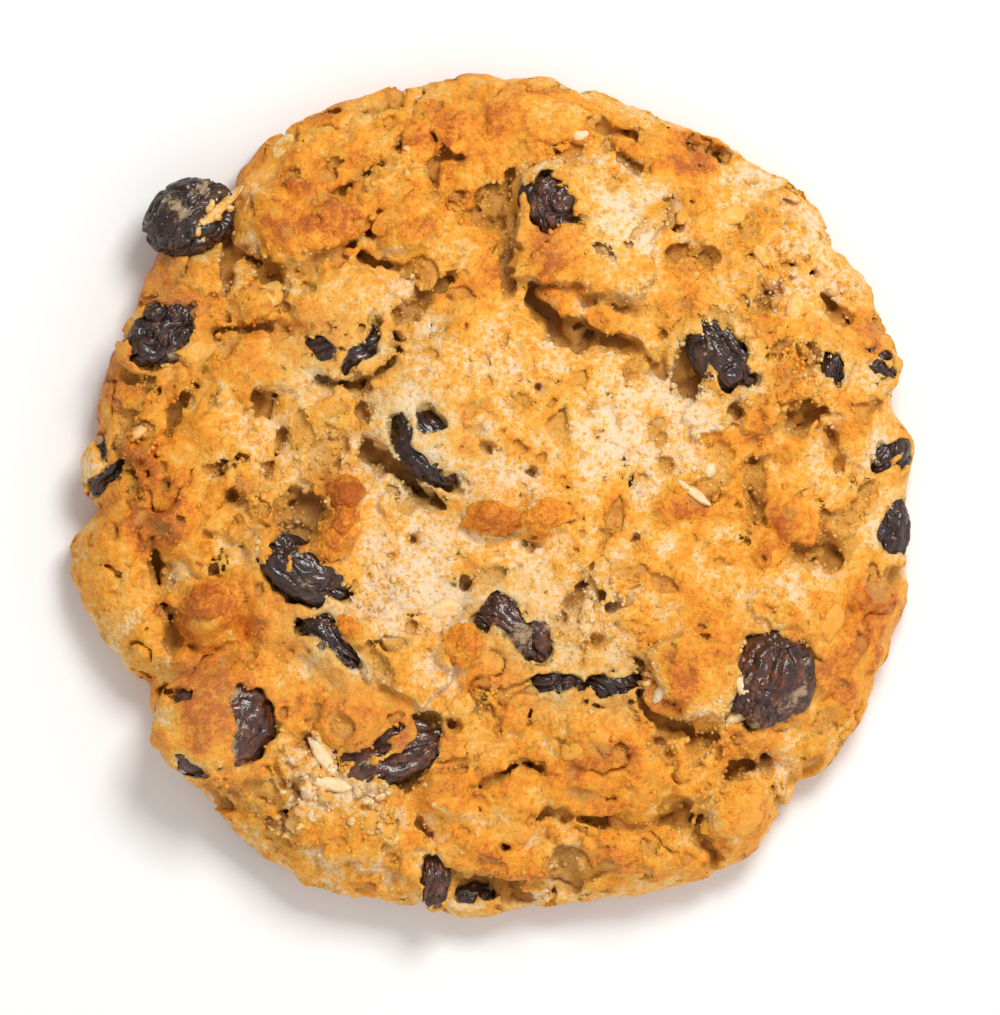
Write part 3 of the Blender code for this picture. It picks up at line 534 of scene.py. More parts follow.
def raisin_frame(name):
    """A raisin's centre, half sizes and turned axes, from its solid's box."""
    low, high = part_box(name)
    centre = np.array((low + high) / 2.0) / MM + np.array(SHIFTS.get(name, (0.0, 0.0, 0.0)))
    diameters, turn, tilt = RAISINS[name][:3]
    turn = math.radians(turn)
    tilt = math.radians(tilt)
    along = np.array((math.cos(turn), math.sin(turn), 0.0))
    side = np.array((-math.sin(turn) * math.cos(tilt), math.cos(turn) * math.cos(tilt), math.sin(tilt)))
    up = np.cross(along, side)
    return centre, np.array(diameters) / 2.0, np.array((along, side, up))


def raisin_distance(name, x, y, z):
    """About how far each point lies from a raisin's skin, below zero inside it."""
    centre, radii, axes = raisin_frame(name)
    offset = (x - centre[0], y - centre[1], z - centre[2])
    scaled = [
        (offset[0] * axis[0] + offset[1] * axis[1] + offset[2] * axis[2]) / radius
        for axis, radius in zip(axes, radii)
    ]
    reach = np.sqrt(scaled[0] ** 2 + scaled[1] ** 2 + scaled[2] ** 2)
    return (reach - 1.0) * radii.min()


# The height of each step between the crust's flaky levels, mm.
TERRACE_HEIGHT = 0.18
# How far the crust's lumps swell above the creases between them, mm.
PUFF_HEIGHT = 0.70

# Smooth places, where the crust isn't torn: x, y, radius.
CALM = (
    (6.0, 9.0, 9.0), (-2.0, 12.0, 7.0), (13.0, 28.0, 7.5), (0.0, 2.0, 5.0), (13.0, 3.0, 5.0), (-1.0, 24.0, 4.0), (-15.0, 21.0, 5.0), (22.0, -19.5, 4.5),
    (-29.8, -25.2, 5.0), (-24.0, 14.5, 5.0), (3.5, -2.5, 4.5), (-10.0, -17.0, 4.0), (19.0, -4.0, 6.0),
    (-22.0, 30.0, 5.0), (-5.0, -8.0, 5.0), (-15.0, -37.0, 4.5), (31.0, -12.5, 3.5), (27.8, -35.0, 3.0),
)

# Porous places, with more pores than elsewhere: x, y, radius, how many more.
POROUS = (
    (5.0, 8.0, 12.0, 0.22), (-7.0, 18.0, 6.0, 0.25), (-26.0, 5.0, 8.0, 0.30), (-10.0, -7.0, 5.0, 0.30),
    (10.0, -9.0, 6.0, 0.30), (28.0, 24.0, 8.0, 0.20), (-20.0, 22.0, 5.0, 0.30), (0.0, -38.0, 8.0, 0.20),
)

# Rough places, where the lumps are higher: x, y, radius, how much more.
ROUGH = (
    (30.0, 24.0, 7.0, 0.7), (24.0, -33.0, 6.0, 0.5), (-17.0, -34.5, 6.0, 1.0),
    (-8.0, 36.0, 6.0, 0.4), (-26.0, 24.0, 6.0, 0.4), (-36.0, 2.0, 5.0, 0.4), (-22.0, 6.0, 5.0, 0.3),
)

# Films of dough that have no pores: x, y, radius, how many fewer.
WHOLE_FILMS = ((-31.5, -25.0, 5.0, 2.5), (-13.0, 21.0, 4.0, 0.5), (22.4, -19.5, 4.0, 0.8))

# Crumbly places, where the surface is coarse and granular: x, y, radius, height of the grains in mm.
CRUMBLY = (
    (-16.5, -32.5, 4.0, 0.50), (-21.5, -30.0, 3.0, 0.40), (-12.5, -33.2, 2.4, 0.36), (-22.0, -36.5, 3.6, 0.30), (17.8, -20.0, 2.4, 0.40),
    (22.5, -24.2, 2.4, 0.36), (11.5, 29.0, 2.6, 0.22), (35.0, 13.5, 4.0, 0.34), (-33.0, 28.0, 3.6, 0.20),
    (30.5, 9.5, 3.6, 0.12), (26.5, 1.0, 3.2, 0.30), (12.0, -13.5, 4.0, 0.26), (30.0, 22.0, 6.0, 0.22),
    (26.5, -30.0, 4.0, 0.28), (31.5, -12.0, 3.6, 0.24), (-12.5, -10.5, 3.4, 0.24), (-38.0, 4.0, 4.0, 0.20),
    (-10.0, 38.0, 5.0, 0.22), (22.0, 4.0, 3.6, 0.24), (-26.0, 22.5, 4.0, 0.20), (0.0, 32.0, 3.0, 0.24),
    (-13.0, -44.0, 5.0, 0.20), (34.0, 30.0, 4.0, 0.12), (-21.0, -2.0, 3.4, 0.26), (-31.0, -34.0, 4.0, 0.26),
)


class Dough:
    """The dough's field, which each step below raises or carves."""

    def __init__(self, grid):
        self.grid = grid
        self.swell = grid.noise(4.5, 11)
        self.lumps = grid.noise(2.1, 12)
        self.clods = grid.noise(1.05, 13)
        self.grain = grid.noise(0.55, 14)
        self.grit = grid.noise(0.32, 15)
        self.wide = grid.noise(3.4, 16)
        self.field = body_field(grid)
        self.raise_top()
        self.roughen()
        self.cover_raisins()
        self.skin = self.field.copy()
        self.tear()
        self.carve_all()
        self.bubble()
        self.pocket_raisins()

    def spots(self, rows):
        """How strongly a set of round places acts on each point of the plan."""
        total = np.zeros_like(self.grid.x)
        for centre_x, centre_y, radius, amount in rows:
            reach = ((self.grid.x - centre_x) ** 2 + (self.grid.y - centre_y) ** 2) / radius**2
            total += amount * np.exp(-reach)
        return total[..., None].astype(np.float32)

    def raise_top(self):
        """Lumps and plates lift the top, and fade out below the shoulder."""
        grid = self.grid
        middle = int((13.0 - GRID_LOW[2]) / VOXEL)
        ragged = 0.30 * self.lumps[:, :, middle] + 0.32 * self.clods[:, :, middle]
        ragged += 0.16 * self.grain[:, :, middle]
        shift_x = 0.6 * self.lumps[:, :, middle] + 0.3 * self.clods[:, :, middle]
        shift_y = 0.6 * self.lumps[:, :, middle - 15] + 0.3 * self.clods[:, :, middle - 15]
        lift = mound_height(grid.x + shift_x, grid.y + shift_y)
        self.edge = np.zeros_like(grid.x)
        for height, corners in PLATES:
            window = grid.window_round(corners, 2.0)
            distance = corners_distance(grid.x[window], grid.y[window], corners) + ragged[window]
            lift[window] += height * smoothstep(0.5 - distance / 0.5)
            self.edge[window] = np.maximum(self.edge[window], np.exp(-((distance / 0.6) ** 2)))
        for half_width, depth, line in CRACKS:
            window = grid.window_round(line, 5.0)
            distance = line_distance(grid.x[window], grid.y[window], line) - half_width
            lift[window] -= 0.36 * depth * np.exp(-((np.clip(distance, 0.0, None) / 1.5) ** 2))
        fade = smoothstep((1.0 - rim_share(grid.x, grid.y)) / 0.08)
        upper = smoothstep((grid.z - 4.0) / 6.0)
        self.field -= (lift * fade)[..., None].astype(np.float32) * upper.astype(np.float32)

    def roughen(self):
        """The uneven crust, calm under the base and coarse in the crumbly places."""
        above = smoothstep((self.grid.z - 0.2) / 2.0).astype(np.float32)
        relief = 0.38 * self.swell + 0.20 * self.lumps + 0.12 * self.clods
        relief += (0.05 + self.spots(CRUMBLY)) * self.grain
        self.ridges = np.abs(self.wide + 0.35 * self.lumps + 0.25 * self.clods)
        relief += PUFF_HEIGHT * (np.sqrt(self.ridges + 0.01) - 0.8)
        flaky = 0.70 * self.grid.noise(2.8, 18) + 0.40 * self.lumps + 0.50 * self.clods + 0.40 * self.grain
        for level in (-1.1, -0.2, 0.7):
            relief += TERRACE_HEIGHT * (smoothstep(0.5 + (flaky - level) / 0.24) - 0.5)
        self.flaky = flaky
        calm = np.minimum(self.spots([(x, y, radius, 1.0) for x, y, radius in CALM]), 1.0)
        share = (1.0 - 0.75 * calm) * (1.0 + self.spots(ROUGH))
        share *= 1.0 - 0.5 * smoothstep((rim_share(self.grid.x, self.grid.y)[..., None] - 0.92) / 0.06)
        self.field -= (relief * share).astype(np.float32) * above

    def cover_raisins(self):
        """A film of dough over the raisins that it wraps."""
        for name, (_, _, _, _, film, _) in RAISINS.items():
            if film < 0.0:
                continue
            window, distance = self.raisin_window(name)
            cover = distance - film - 0.12 * self.clods[window]
            self.field[window] = smooth_min(self.field[window], cover, 1.0)

    def raisin_window(self, name):
        """The part of the grid round a raisin, and the distance to its skin there."""
        centre, radii, _ = raisin_frame(name)
        margin = radii.max() + 2.0
        window = self.grid.window(centre[0] - margin, centre[0] + margin, centre[1] - margin, centre[1] + margin)
        x = self.grid.x[window][..., None]
        y = self.grid.y[window][..., None]
        return window, raisin_distance(name, x, y, self.grid.z).astype(np.float32)

    def tear(self):
        """Ragged openings between plates of crust, and fine broken cracks."""
        calm = self.spots([(x, y, radius, 1.0) for x, y, radius in CALM])
        ragged = 0.72 * self.wide + 0.50 * self.grid.noise(1.7, 17) + 0.36 * self.clods + 0.26 * self.grain
        limit = 1.30 + 1.0 * calm + self.spots(WHOLE_FILMS)
        side = (limit - ragged) * 1.5
        floor = -self.skin - 1.7 + 0.45 * self.lumps + 0.30 * self.clods + 0.18 * self.grain
        hole = smooth_max(side, floor, 0.6)
        self.field = smooth_max(self.field, -hole, 0.12)
        crease = self.ridges - 0.16
        crease += 1.6 * smoothstep(0.9 - self.swell) + 0.6 * calm
        narrow = smooth_max(1.4 * crease, -self.skin - 1.2 + 0.3 * self.clods, 0.3)
        self.field = smooth_max(self.field, -narrow, 0.1)

    def carve(self, half_width, points, depth, taper=0.25, ragged=1.0):
        """A hollow under a shape of the plan, with a broken edge and a rough floor."""
        margin = 2.5 + (half_width or 0.0)
        window = self.grid.window_round(points, margin)
        x = self.grid.x[window]
        y = self.grid.y[window]
        side = shape_distance(x, y, half_width, points)[..., None].astype(np.float32)
        skin = self.skin[window]
        edge = 0.20 * self.lumps[window] + 0.28 * self.clods[window]
        edge += 0.20 * self.grain[window] + 0.05 * self.grit[window]
        side = side + ragged * edge - taper * skin
        floor = -skin - depth + 0.45 * self.clods[window] + 0.24 * self.grain[window]
        hole = smooth_max(side, floor, 0.6)
        hole = np.maximum(hole, (4.6 - self.grid.z).astype(np.float32))
        self.field[window] = smooth_max(self.field[window], -hole, 0.10)

    def carve_all(self):
        for half_width, depth, line in CRACKS:
            self.carve(half_width, line, 1.4 * depth, taper=0.15)
        for depth, corners in HOLLOWS:
            self.carve(None, corners, depth, taper=0.05)
        for x, y, radius, depth in PITS:
            self.carve(radius, ((x, y), (x + 0.01, y)), 1.3 * depth, taper=0.3, ragged=0.7)
        for _, _, _, _, film, openings in RAISINS.values():
            for half_width, points in openings:
                self.carve(half_width, points, 2.6, taper=0.1, ragged=0.8)

    def bubble(self):
        """Irregular pores of several sizes, only near the skin."""
        near = -self.skin - 1.3
        porous = self.spots(POROUS) - self.spots(WHOLE_FILMS)
        for noise, limit, scale, reach in (
            (self.lumps, 2.0, 1.5, 0.2), (self.clods, 1.80, 0.75, 0.6), (self.grain, 1.95, 0.40, 0.8),
        ):
            holes = smooth_max((limit - porous - noise) * scale, near + reach, 0.2)
            self.field = smooth_max(self.field, -holes, 0.08)

    def pocket_raisins(self):
        """Each raisin's own place, a little smaller than the raisin so that no gap shows."""
        for name in RAISINS:
            window, distance = self.raisin_window(name)
            self.field[window] = np.maximum(self.field[window], -distance - 0.25)


def net_surface(grid, field):
    """Vertices and faces where the field is zero: one vertex for each voxel that it passes through."""
    inside = field < 0.0
    count = np.zeros(tuple(size - 1 for size in field.shape), np.uint8)
    corners = [(i, j, k) for i in (0, 1) for j in (0, 1) for k in (0, 1)]
    for i, j, k in corners:
        count += inside[i:i - 1 or None, j:j - 1 or None, k:k - 1 or None]
    cells = np.argwhere((count > 0) & (count < 8))
    values = {
        corner: field[cells[:, 0] + corner[0], cells[:, 1] + corner[1], cells[:, 2] + corner[2]]
        for corner in corners
    }
    total = np.zeros((len(cells), 3))
    crossings = np.zeros(len(cells))
    for start in corners:
        for axis in range(3):
            if start[axis]:
                continue
            end = tuple(value + (index == axis) for index, value in enumerate(start))
            first = values[start]
            second = values[end]
            crossed = (first < 0.0) != (second < 0.0)
            share = first[crossed] / (first[crossed] - second[crossed])
            place = np.tile(np.array(start, float), (len(share), 1))
            place[:, axis] += share
            total[crossed] += place
            crossings[crossed] += 1.0
    points = (cells + total / crossings[:, None]) * VOXEL + np.array(GRID_LOW)
    index = np.full(count.shape, -1, np.int32)
    index[cells[:, 0], cells[:, 1], cells[:, 2]] = np.arange(len(cells), dtype=np.int32)
    faces = [net_faces(inside, index, axis) for axis in range(3)]
    return points, np.concatenate(faces)


def net_faces(inside, index, axis):
    """A four-sided face round each grid edge along one axis that the surface crosses."""
    ahead = [slice(None)] * 3
    behind = [slice(None)] * 3
    ahead[axis] = slice(1, None)
    behind[axis] = slice(None, -1)
    crossed = np.argwhere(inside[tuple(behind)] != inside[tuple(ahead)])
    leaving = inside[tuple(crossed.T)]
    second = (axis + 1) % 3
    third = (axis + 2) % 3
    ring = []
    for step_second, step_third in ((0, 0), (-1, 0), (-1, -1), (0, -1)):
        cell = crossed.copy()
        cell[:, second] += step_second
        cell[:, third] += step_third
        ring.append(index[tuple(cell.T)])
    faces = np.stack(ring, axis=1)
    faces[~leaving] = faces[~leaving][:, ::-1]
    return faces


def new_mesh(name, points, faces):
    """A mesh from points in millimetres and faces of one size."""
    mesh = bpy.data.meshes.new(name)
    faces = np.asarray(faces, np.int32)
    sides = faces.shape[1]
    mesh.vertices.add(len(points))
    mesh.vertices.foreach_set("co", (np.asarray(points) * MM).astype(np.float32).ravel())
    mesh.loops.add(faces.size)
    mesh.loops.foreach_set("vertex_index", faces.ravel())
    mesh.polygons.add(len(faces))
    mesh.polygons.foreach_set("loop_start", np.arange(len(faces), dtype=np.int32) * sides)
    mesh.update(calc_edges=True)
    mesh.validate()
    mesh.shade_smooth()
    return mesh


def mesh_points(mesh):
    """A mesh's points in millimetres."""
    points = np.empty(len(mesh.vertices) * 3, np.float32)
    mesh.vertices.foreach_get("co", points)
    return points.reshape(-1, 3).astype(float) / MM


def mesh_normals(mesh):
    """The smooth normal at each vertex."""
    normals = np.empty(len(mesh.vertices) * 3, np.float32)
    mesh.vertex_normals.foreach_get("vector", normals)
    return normals.reshape(-1, 3).astype(float)


def largest_part(points, faces):
    """Only the largest connected part of a mesh."""
    label = np.arange(len(points))
    ends = np.concatenate([faces[:, [0, 1]], faces[:, [1, 2]], faces[:, [2, 0]]])
    while True:
        lowest = label.copy()
        np.minimum.at(lowest, ends[:, 0], label[ends[:, 1]])
        np.minimum.at(lowest, ends[:, 1], label[ends[:, 0]])
        lowest = lowest[lowest]
        lowest = lowest[lowest]
        if (lowest == label).all():
            break
        label = lowest
    names, counts = np.unique(label, return_counts=True)
    kept = label == names[counts.argmax()]
    order = np.cumsum(kept) - 1
    return points[kept], order[faces[kept[faces[:, 0]]]]


def decimated(mesh, triangles):
    """The mesh with its flatter faces merged, as points and triangles."""
    thing = bpy.data.objects.new("dense", mesh)
    bpy.context.scene.collection.objects.link(thing)
    split = thing.modifiers.new("triangles", "TRIANGULATE")
    split.quad_method = "SHORTEST_DIAGONAL"
    total = 2 * len(mesh.polygons)
    seen = thing.vertex_groups.new(name="seen")
    normals = mesh_normals(mesh)
    heights = mesh_points(mesh)[:, 2]
    hidden = (normals[:, 2] < -0.05) | (heights < 3.0)
    seen.add(np.flatnonzero(~hidden).tolist(), 0.30, "REPLACE")
    seen.add(np.flatnonzero(hidden).tolist(), 1.0, "REPLACE")
    fewer = thing.modifiers.new("fewer", "DECIMATE")
    fewer.ratio = min(1.0, triangles / total)
    fewer.vertex_group = "seen"
    fewer.vertex_group_factor = 1.0
    shown = thing.evaluated_get(bpy.context.evaluated_depsgraph_get()).to_mesh()
    points = mesh_points(shown)
    faces = np.empty(len(shown.polygons) * 3, np.int32)
    shown.polygons.foreach_get("vertices", faces)
    bpy.data.objects.remove(thing)
    return points, faces.reshape(-1, 3)


def add_attribute(mesh, name, values):
    """A value for each vertex, which the materials read."""
    attribute = mesh.attributes.new(name, "FLOAT", "POINT")
    attribute.data.foreach_set("value", np.asarray(values, np.float32))


def sampled(grid, field, points):
    """The field's value at each point, between the voxels."""
    place = (points - np.array(GRID_LOW)) / VOXEL
    limit = np.array(field.shape) - 1.001
    place = np.clip(place, 0.0, limit)
    first = place.astype(int)
    share = place - first
    total = np.zeros(len(points))
    for i in (0, 1):
        for j in (0, 1):
            for k in (0, 1):
                weight = (
                    (share[:, 0] if i else 1.0 - share[:, 0])
                    * (share[:, 1] if j else 1.0 - share[:, 1])
                    * (share[:, 2] if k else 1.0 - share[:, 2])
                )
                total += weight * field[first[:, 0] + i, first[:, 1] + j, first[:, 2] + k]
    return total


def dough_looks(dough, mesh):
    """How browned, torn and stained each point of the dough is, and how deep it lies below the skin; some listed places
    are painted darker as shade or paler as light.
    """
    grid = dough.grid
    points = mesh_points(mesh)
    x, y, z = points.T
    share = rim_share(x, y)
    depth = np.clip(-sampled(grid, dough.skin, points), 0.0, None)
    # The last term pales the outermost rim: less browning there, and partly painted light that lifts the shade where
    # the rim turns down.
    bake_and_painted_light = 0.35 + 0.23 * smoothstep((share - 0.25) / 0.55) - 0.11 * smoothstep((share - 0.86) / 0.12)
    bake_and_painted_light += 0.06 * sampled(grid, dough.swell, points) + 0.06 * sampled(grid, dough.lumps, points)
    bake_and_painted_light += 0.04 * sampled(grid, dough.clods, points) + 0.07 * sampled(grid, dough.flaky, points)
    shifted_x = x + 0.9 * sampled(grid, dough.lumps, points)
    shifted_y = y + 0.9 * sampled(grid, dough.clods, points)
    # Browned places of the crust, with some painted darker as shade or paler as light.
    for centre_x, centre_y, radius, amount in BROWNING_AND_PAINTED_LIGHT:
        bake_and_painted_light += amount * np.exp(-((shifted_x - centre_x) ** 2 + (shifted_y - centre_y) ** 2) / radius**2)
    column = ((x - GRID_LOW[0]) / VOXEL).astype(int)
    row = ((y - GRID_LOW[1]) / VOXEL).astype(int)
    edge = dough.edge[column, row] * smoothstep((z - 8.0) / 2.0)
    bake_and_painted_light -= 0.16 * edge
    under = smoothstep((3.5 - z) / 2.5)
    bake_and_painted_light = bake_and_painted_light * (1.0 - under) + 0.80 * under
    stain = np.zeros(len(points))
    for name in RAISINS:
        amount = 1.0 if name in STAINING_RAISINS else 0.35
        reach = np.clip(raisin_distance(name, x, y, z), 0.0, None)
        stain = np.maximum(stain, amount * np.exp(-reach / 1.3))
    add_attribute(mesh, "bake_and_painted_light", np.clip(bake_and_painted_light, 0.0, 1.0))
    add_attribute(mesh, "depth", np.clip(depth, 0.0, 5.0) * (1.0 - under))
    add_attribute(mesh, "stain", stain)


class Nodes:
    """A short way to build a material's nodes."""

    def __init__(self, name):
        self.material = bpy.data.materials.new(name)
        self.material.use_nodes = True
        self.tree = self.material.node_tree
        self.shader = self.tree.nodes["Principled BSDF"]
        self.place = self.add("ShaderNodeTexCoord").outputs["Object"]

    def add(self, kind, **settings):
        node = self.tree.nodes.new(kind)
        for key, value in settings.items():
            setattr(node, key, value)
        return node

    def link(self, source, target):
        if isinstance(source, (int, float)):
            target.default_value = source
        elif isinstance(source, tuple):
            target.default_value = (*source, 1.0)
        else:
            self.tree.links.new(source, target)

    def math(self, operation, first, second=0.0, clamp=False):
        node = self.add("ShaderNodeMath", operation=operation, use_clamp=clamp)
        self.link(first, node.inputs[0])
        self.link(second, node.inputs[1])
        return node.outputs[0]

    def mix(self, share, first, second, blend="MIX"):
        node = self.add("ShaderNodeMix", data_type="RGBA", blend_type=blend)
        self.link(share, node.inputs["Factor"])
        self.link(first, node.inputs["A"])
        self.link(second, node.inputs["B"])
        return node.outputs["Result"]

    def noise(self, size_mm, detail=2.0, roughness=0.5):
        node = self.add("ShaderNodeTexNoise")
        self.link(self.place, node.inputs["Vector"])
        node.inputs["Scale"].default_value = 1.0 / (size_mm * MM)
        node.inputs["Detail"].default_value = detail
        node.inputs["Roughness"].default_value = roughness
        return node.outputs["Fac"]

    def centred(self, value):
        """A noise's value less its mean."""
        return self.math("SUBTRACT", value, 0.5)

    def scaled(self, value, factor, onto):
        """The value times a factor, added to another."""
        node = self.add("ShaderNodeMath", operation="MULTIPLY_ADD")
        self.link(value, node.inputs[0])
        self.link(factor, node.inputs[1])
        self.link(onto, node.inputs[2])
        return node.outputs[0]

    def pores(self, size_mm, share):
        """Small uneven spots with a crisp edge, in a share of the cells of a pattern."""
        warp = self.add("ShaderNodeTexNoise")
        self.link(self.place, warp.inputs["Vector"])
        warp.inputs["Scale"].default_value = 1.6 / (size_mm * MM)
        shift = self.add("ShaderNodeVectorMath", operation="MULTIPLY_ADD")
        self.link(warp.outputs["Color"], shift.inputs[0])
        shift.inputs[1].default_value = (0.9 * size_mm * MM,) * 3
        self.link(self.place, shift.inputs[2])
        cells = self.add("ShaderNodeTexVoronoi")
        self.link(shift.outputs["Vector"], cells.inputs["Vector"])
        cells.inputs["Scale"].default_value = 1.0 / (size_mm * MM)
        parts = self.add("ShaderNodeSeparateColor")
        self.link(cells.outputs["Color"], parts.inputs["Color"])
        radius = self.math("MULTIPLY", self.math("SUBTRACT", parts.outputs["Red"], 1.0 - share), 0.85)
        return self.math("MULTIPLY", self.math("SUBTRACT", radius, cells.outputs["Distance"]), 12.0, clamp=True)

    def attribute(self, name):
        return self.add("ShaderNodeAttribute", attribute_name=name).outputs["Fac"]

    def ramp(self, share, stops):
        node = self.add("ShaderNodeValToRGB")
        self.link(share, node.inputs["Fac"])
        stretches = node.color_ramp.elements
        while len(stretches) < len(stops):
            stretches.new(0.5)
        for stretch, (place, colour) in zip(stretches, stops):
            stretch.position = place
            stretch.color = (*colour, 1.0)
        return node.outputs["Color"]

    def bump(self, height, strength, depth_mm, onto=None):
        node = self.add("ShaderNodeBump")
        node.inputs["Strength"].default_value = strength
        node.inputs["Distance"].default_value = depth_mm * MM
        self.link(height, node.inputs["Height"])
        if onto is not None:
            self.link(onto, node.inputs["Normal"])
        return node.outputs["Normal"]

    def set(self, **values):
        for key, value in values.items():
            self.link(value, self.shader.inputs[key.replace("_", " ")])


# The crust's colours from palest to most browned.
CRUST = (
    (0.00, (0.89, 0.67, 0.45)),
    (0.22, (0.885, 0.575, 0.27)),
    (0.44, (0.875, 0.44, 0.068)),
    (0.64, (0.855, 0.340, 0.027)),
    (0.80, (0.77, 0.250, 0.022)),
    (1.00, (0.50, 0.125, 0.018)),
)


def dough_material():
    """Matt, porous crumb: mottled, browned, pale where torn, stained beside raisins, with painted shade in its deep
    places and in tiny pore spots.
    """
    nodes = Nodes("dough")
    bake_and_painted_light = nodes.attribute("bake_and_painted_light")
    depth = nodes.attribute("depth")
    fine = nodes.centred(nodes.noise(0.70, 3.0, 0.85))
    tone = nodes.scaled(nodes.centred(nodes.noise(2.4, 3.0, 0.60)), 0.65, bake_and_painted_light)
    swing = nodes.math("MULTIPLY", fine, nodes.math("MAXIMUM", nodes.scaled(bake_and_painted_light, -2.6, 2.9), 1.2))
    tone = nodes.math("ADD", tone, swing)
    colour = nodes.ramp(tone, CRUST)
    # The depth below the skin with noise: it colours torn crumb, and where deeper it paints the shade of hollows.
    ragged_depth = nodes.scaled(fine, 1.6, depth)
    torn = nodes.math("MULTIPLY", nodes.math("SUBTRACT", ragged_depth, 0.30), 2.5, clamp=True)
    deep_shade = nodes.math("MULTIPLY", nodes.math("SUBTRACT", ragged_depth, 1.00), 0.5, clamp=True)
    colour = nodes.mix(nodes.math("MULTIPLY", torn, 0.55), colour, (0.66, 0.36, 0.08))
    colour = nodes.mix(nodes.math("MULTIPLY", nodes.attribute("stain"), 0.42), colour, (0.54, 0.43, 0.18))
    # Painted shade: the deepest places turn dark brown, as shade in crevices and hollows.
    colour = nodes.mix(nodes.math("MULTIPLY", deep_shade, 0.75), colour, (0.42, 0.175, 0.028))
    # Painted shade: darker ochre spots of two sizes stand in for the shaded floors of tiny pores, which neither the
    # mesh nor the bump has.
    pores = nodes.pores(1.35, 0.50)
    speck_shade = nodes.pores(0.62, 0.55)
    colour = nodes.mix(nodes.math("MULTIPLY", pores, 0.60), colour, (0.62, 0.31, 0.055))
    colour = nodes.mix(nodes.math("MULTIPLY", speck_shade, 0.55), colour, (0.52, 0.24, 0.045))
    nodes.set(Base_Color=colour)
    nodes.set(Roughness=nodes.scaled(bake_and_painted_light, -0.22, 0.66))
    nodes.set(Subsurface_Weight=0.22, Subsurface_Scale=0.0010)
    nodes.shader.inputs["Subsurface Radius"].default_value = (1.0, 0.42, 0.14)
    nodes.set(Specular_IOR_Level=0.20)
    relief = nodes.scaled(nodes.noise(0.26, 1.0), 0.05, nodes.math("MULTIPLY", fine, 0.30))
    nodes.set(Normal=nodes.bump(relief, 1.0, 1.0))
    return nodes.material


def raisin_material():
    """Near-black wrinkled skin with a half gloss and a dull, sugary film in places."""
    nodes = Nodes("raisin")
    film = nodes.attribute("film")
    cloud = nodes.noise(1.3, 4.0, 0.65)
    veins = nodes.noise(0.45, 3.0, 0.6)
    black = nodes.ramp(cloud, ((0.35, (0.010, 0.006, 0.005)), (0.55, (0.028, 0.013, 0.010)), (0.75, (0.10, 0.040, 0.024))))
    brown = nodes.ramp(cloud, ((0.35, (0.022, 0.009, 0.006)), (0.52, (0.075, 0.024, 0.012)), (0.70, (0.20, 0.065, 0.030))))
    dark = nodes.mix(nodes.attribute("warm"), black, brown)
    cover = nodes.scaled(nodes.centred(nodes.noise(1.1, 4.0, 0.75)), 2.2, film)
    cover = nodes.math("MULTIPLY", nodes.math("SUBTRACT", cover, 0.55), 3.5, clamp=True)
    colour = nodes.mix(nodes.math("MULTIPLY", cover, 0.80), dark, (0.44, 0.30, 0.16))
    nodes.set(Base_Color=colour)
    nodes.set(Roughness=nodes.scaled(cover, 0.45, 0.15))
    nodes.set(Specular_IOR_Level=0.60)
    rough = nodes.bump(veins, 0.60, 0.12)
    nodes.set(Normal=nodes.bump(cloud, 0.4, 0.3, rough))
    return nodes.material


def oat_material():
    """Pale, faintly grooved oat flake."""
    nodes = Nodes("oat")
    tone = nodes.math("MULTIPLY", nodes.math("SUBTRACT", nodes.noise(0.8, 3.0), 0.5), 0.5)
    tone = nodes.math("ADD", nodes.math("ADD", tone, 0.12), nodes.attribute("bake_and_painted_light"), clamp=True)
    colour = nodes.ramp(tone, ((0.0, (0.92, 0.78, 0.55)), (0.25, (0.90, 0.62, 0.30)), *CRUST[2:]))
    nodes.set(Base_Color=colour, Roughness=0.55)
    nodes.set(Subsurface_Weight=0.2, Subsurface_Scale=0.001)
    nodes.set(Normal=nodes.bump(nodes.noise(0.35, 3.0), 0.8, 0.2))
    return nodes.material


NOISE_TABLE = np.random.default_rng(5).standard_normal((32, 32, 32))


def noise_at(points):
    """Smooth noise at any points, one unit to a lump."""
    first = np.floor(points).astype(int)
    share = points - first
    share = share * share * (3.0 - 2.0 * share)
    total = np.zeros(len(points))
    for i in (0, 1):
        for j in (0, 1):
            for k in (0, 1):
                weight = (
                    (share[:, 0] if i else 1.0 - share[:, 0])
                    * (share[:, 1] if j else 1.0 - share[:, 1])
                    * (share[:, 2] if k else 1.0 - share[:, 2])
                )
                total += weight * NOISE_TABLE[(first[:, 0] + i) % 32, (first[:, 1] + j) % 32, (first[:, 2] + k) % 32]
    return total


# The raisins that show most have a finer mesh: points around and along.
FINE_RAISINS = ("raisin_01", "raisin_02", "raisin_06", "raisin_07", "raisin_12", "raisin_14", "raisin_17", "raisin_19")
FINE_MESH = (150, 100)
PLAIN_MESH = (96, 64)


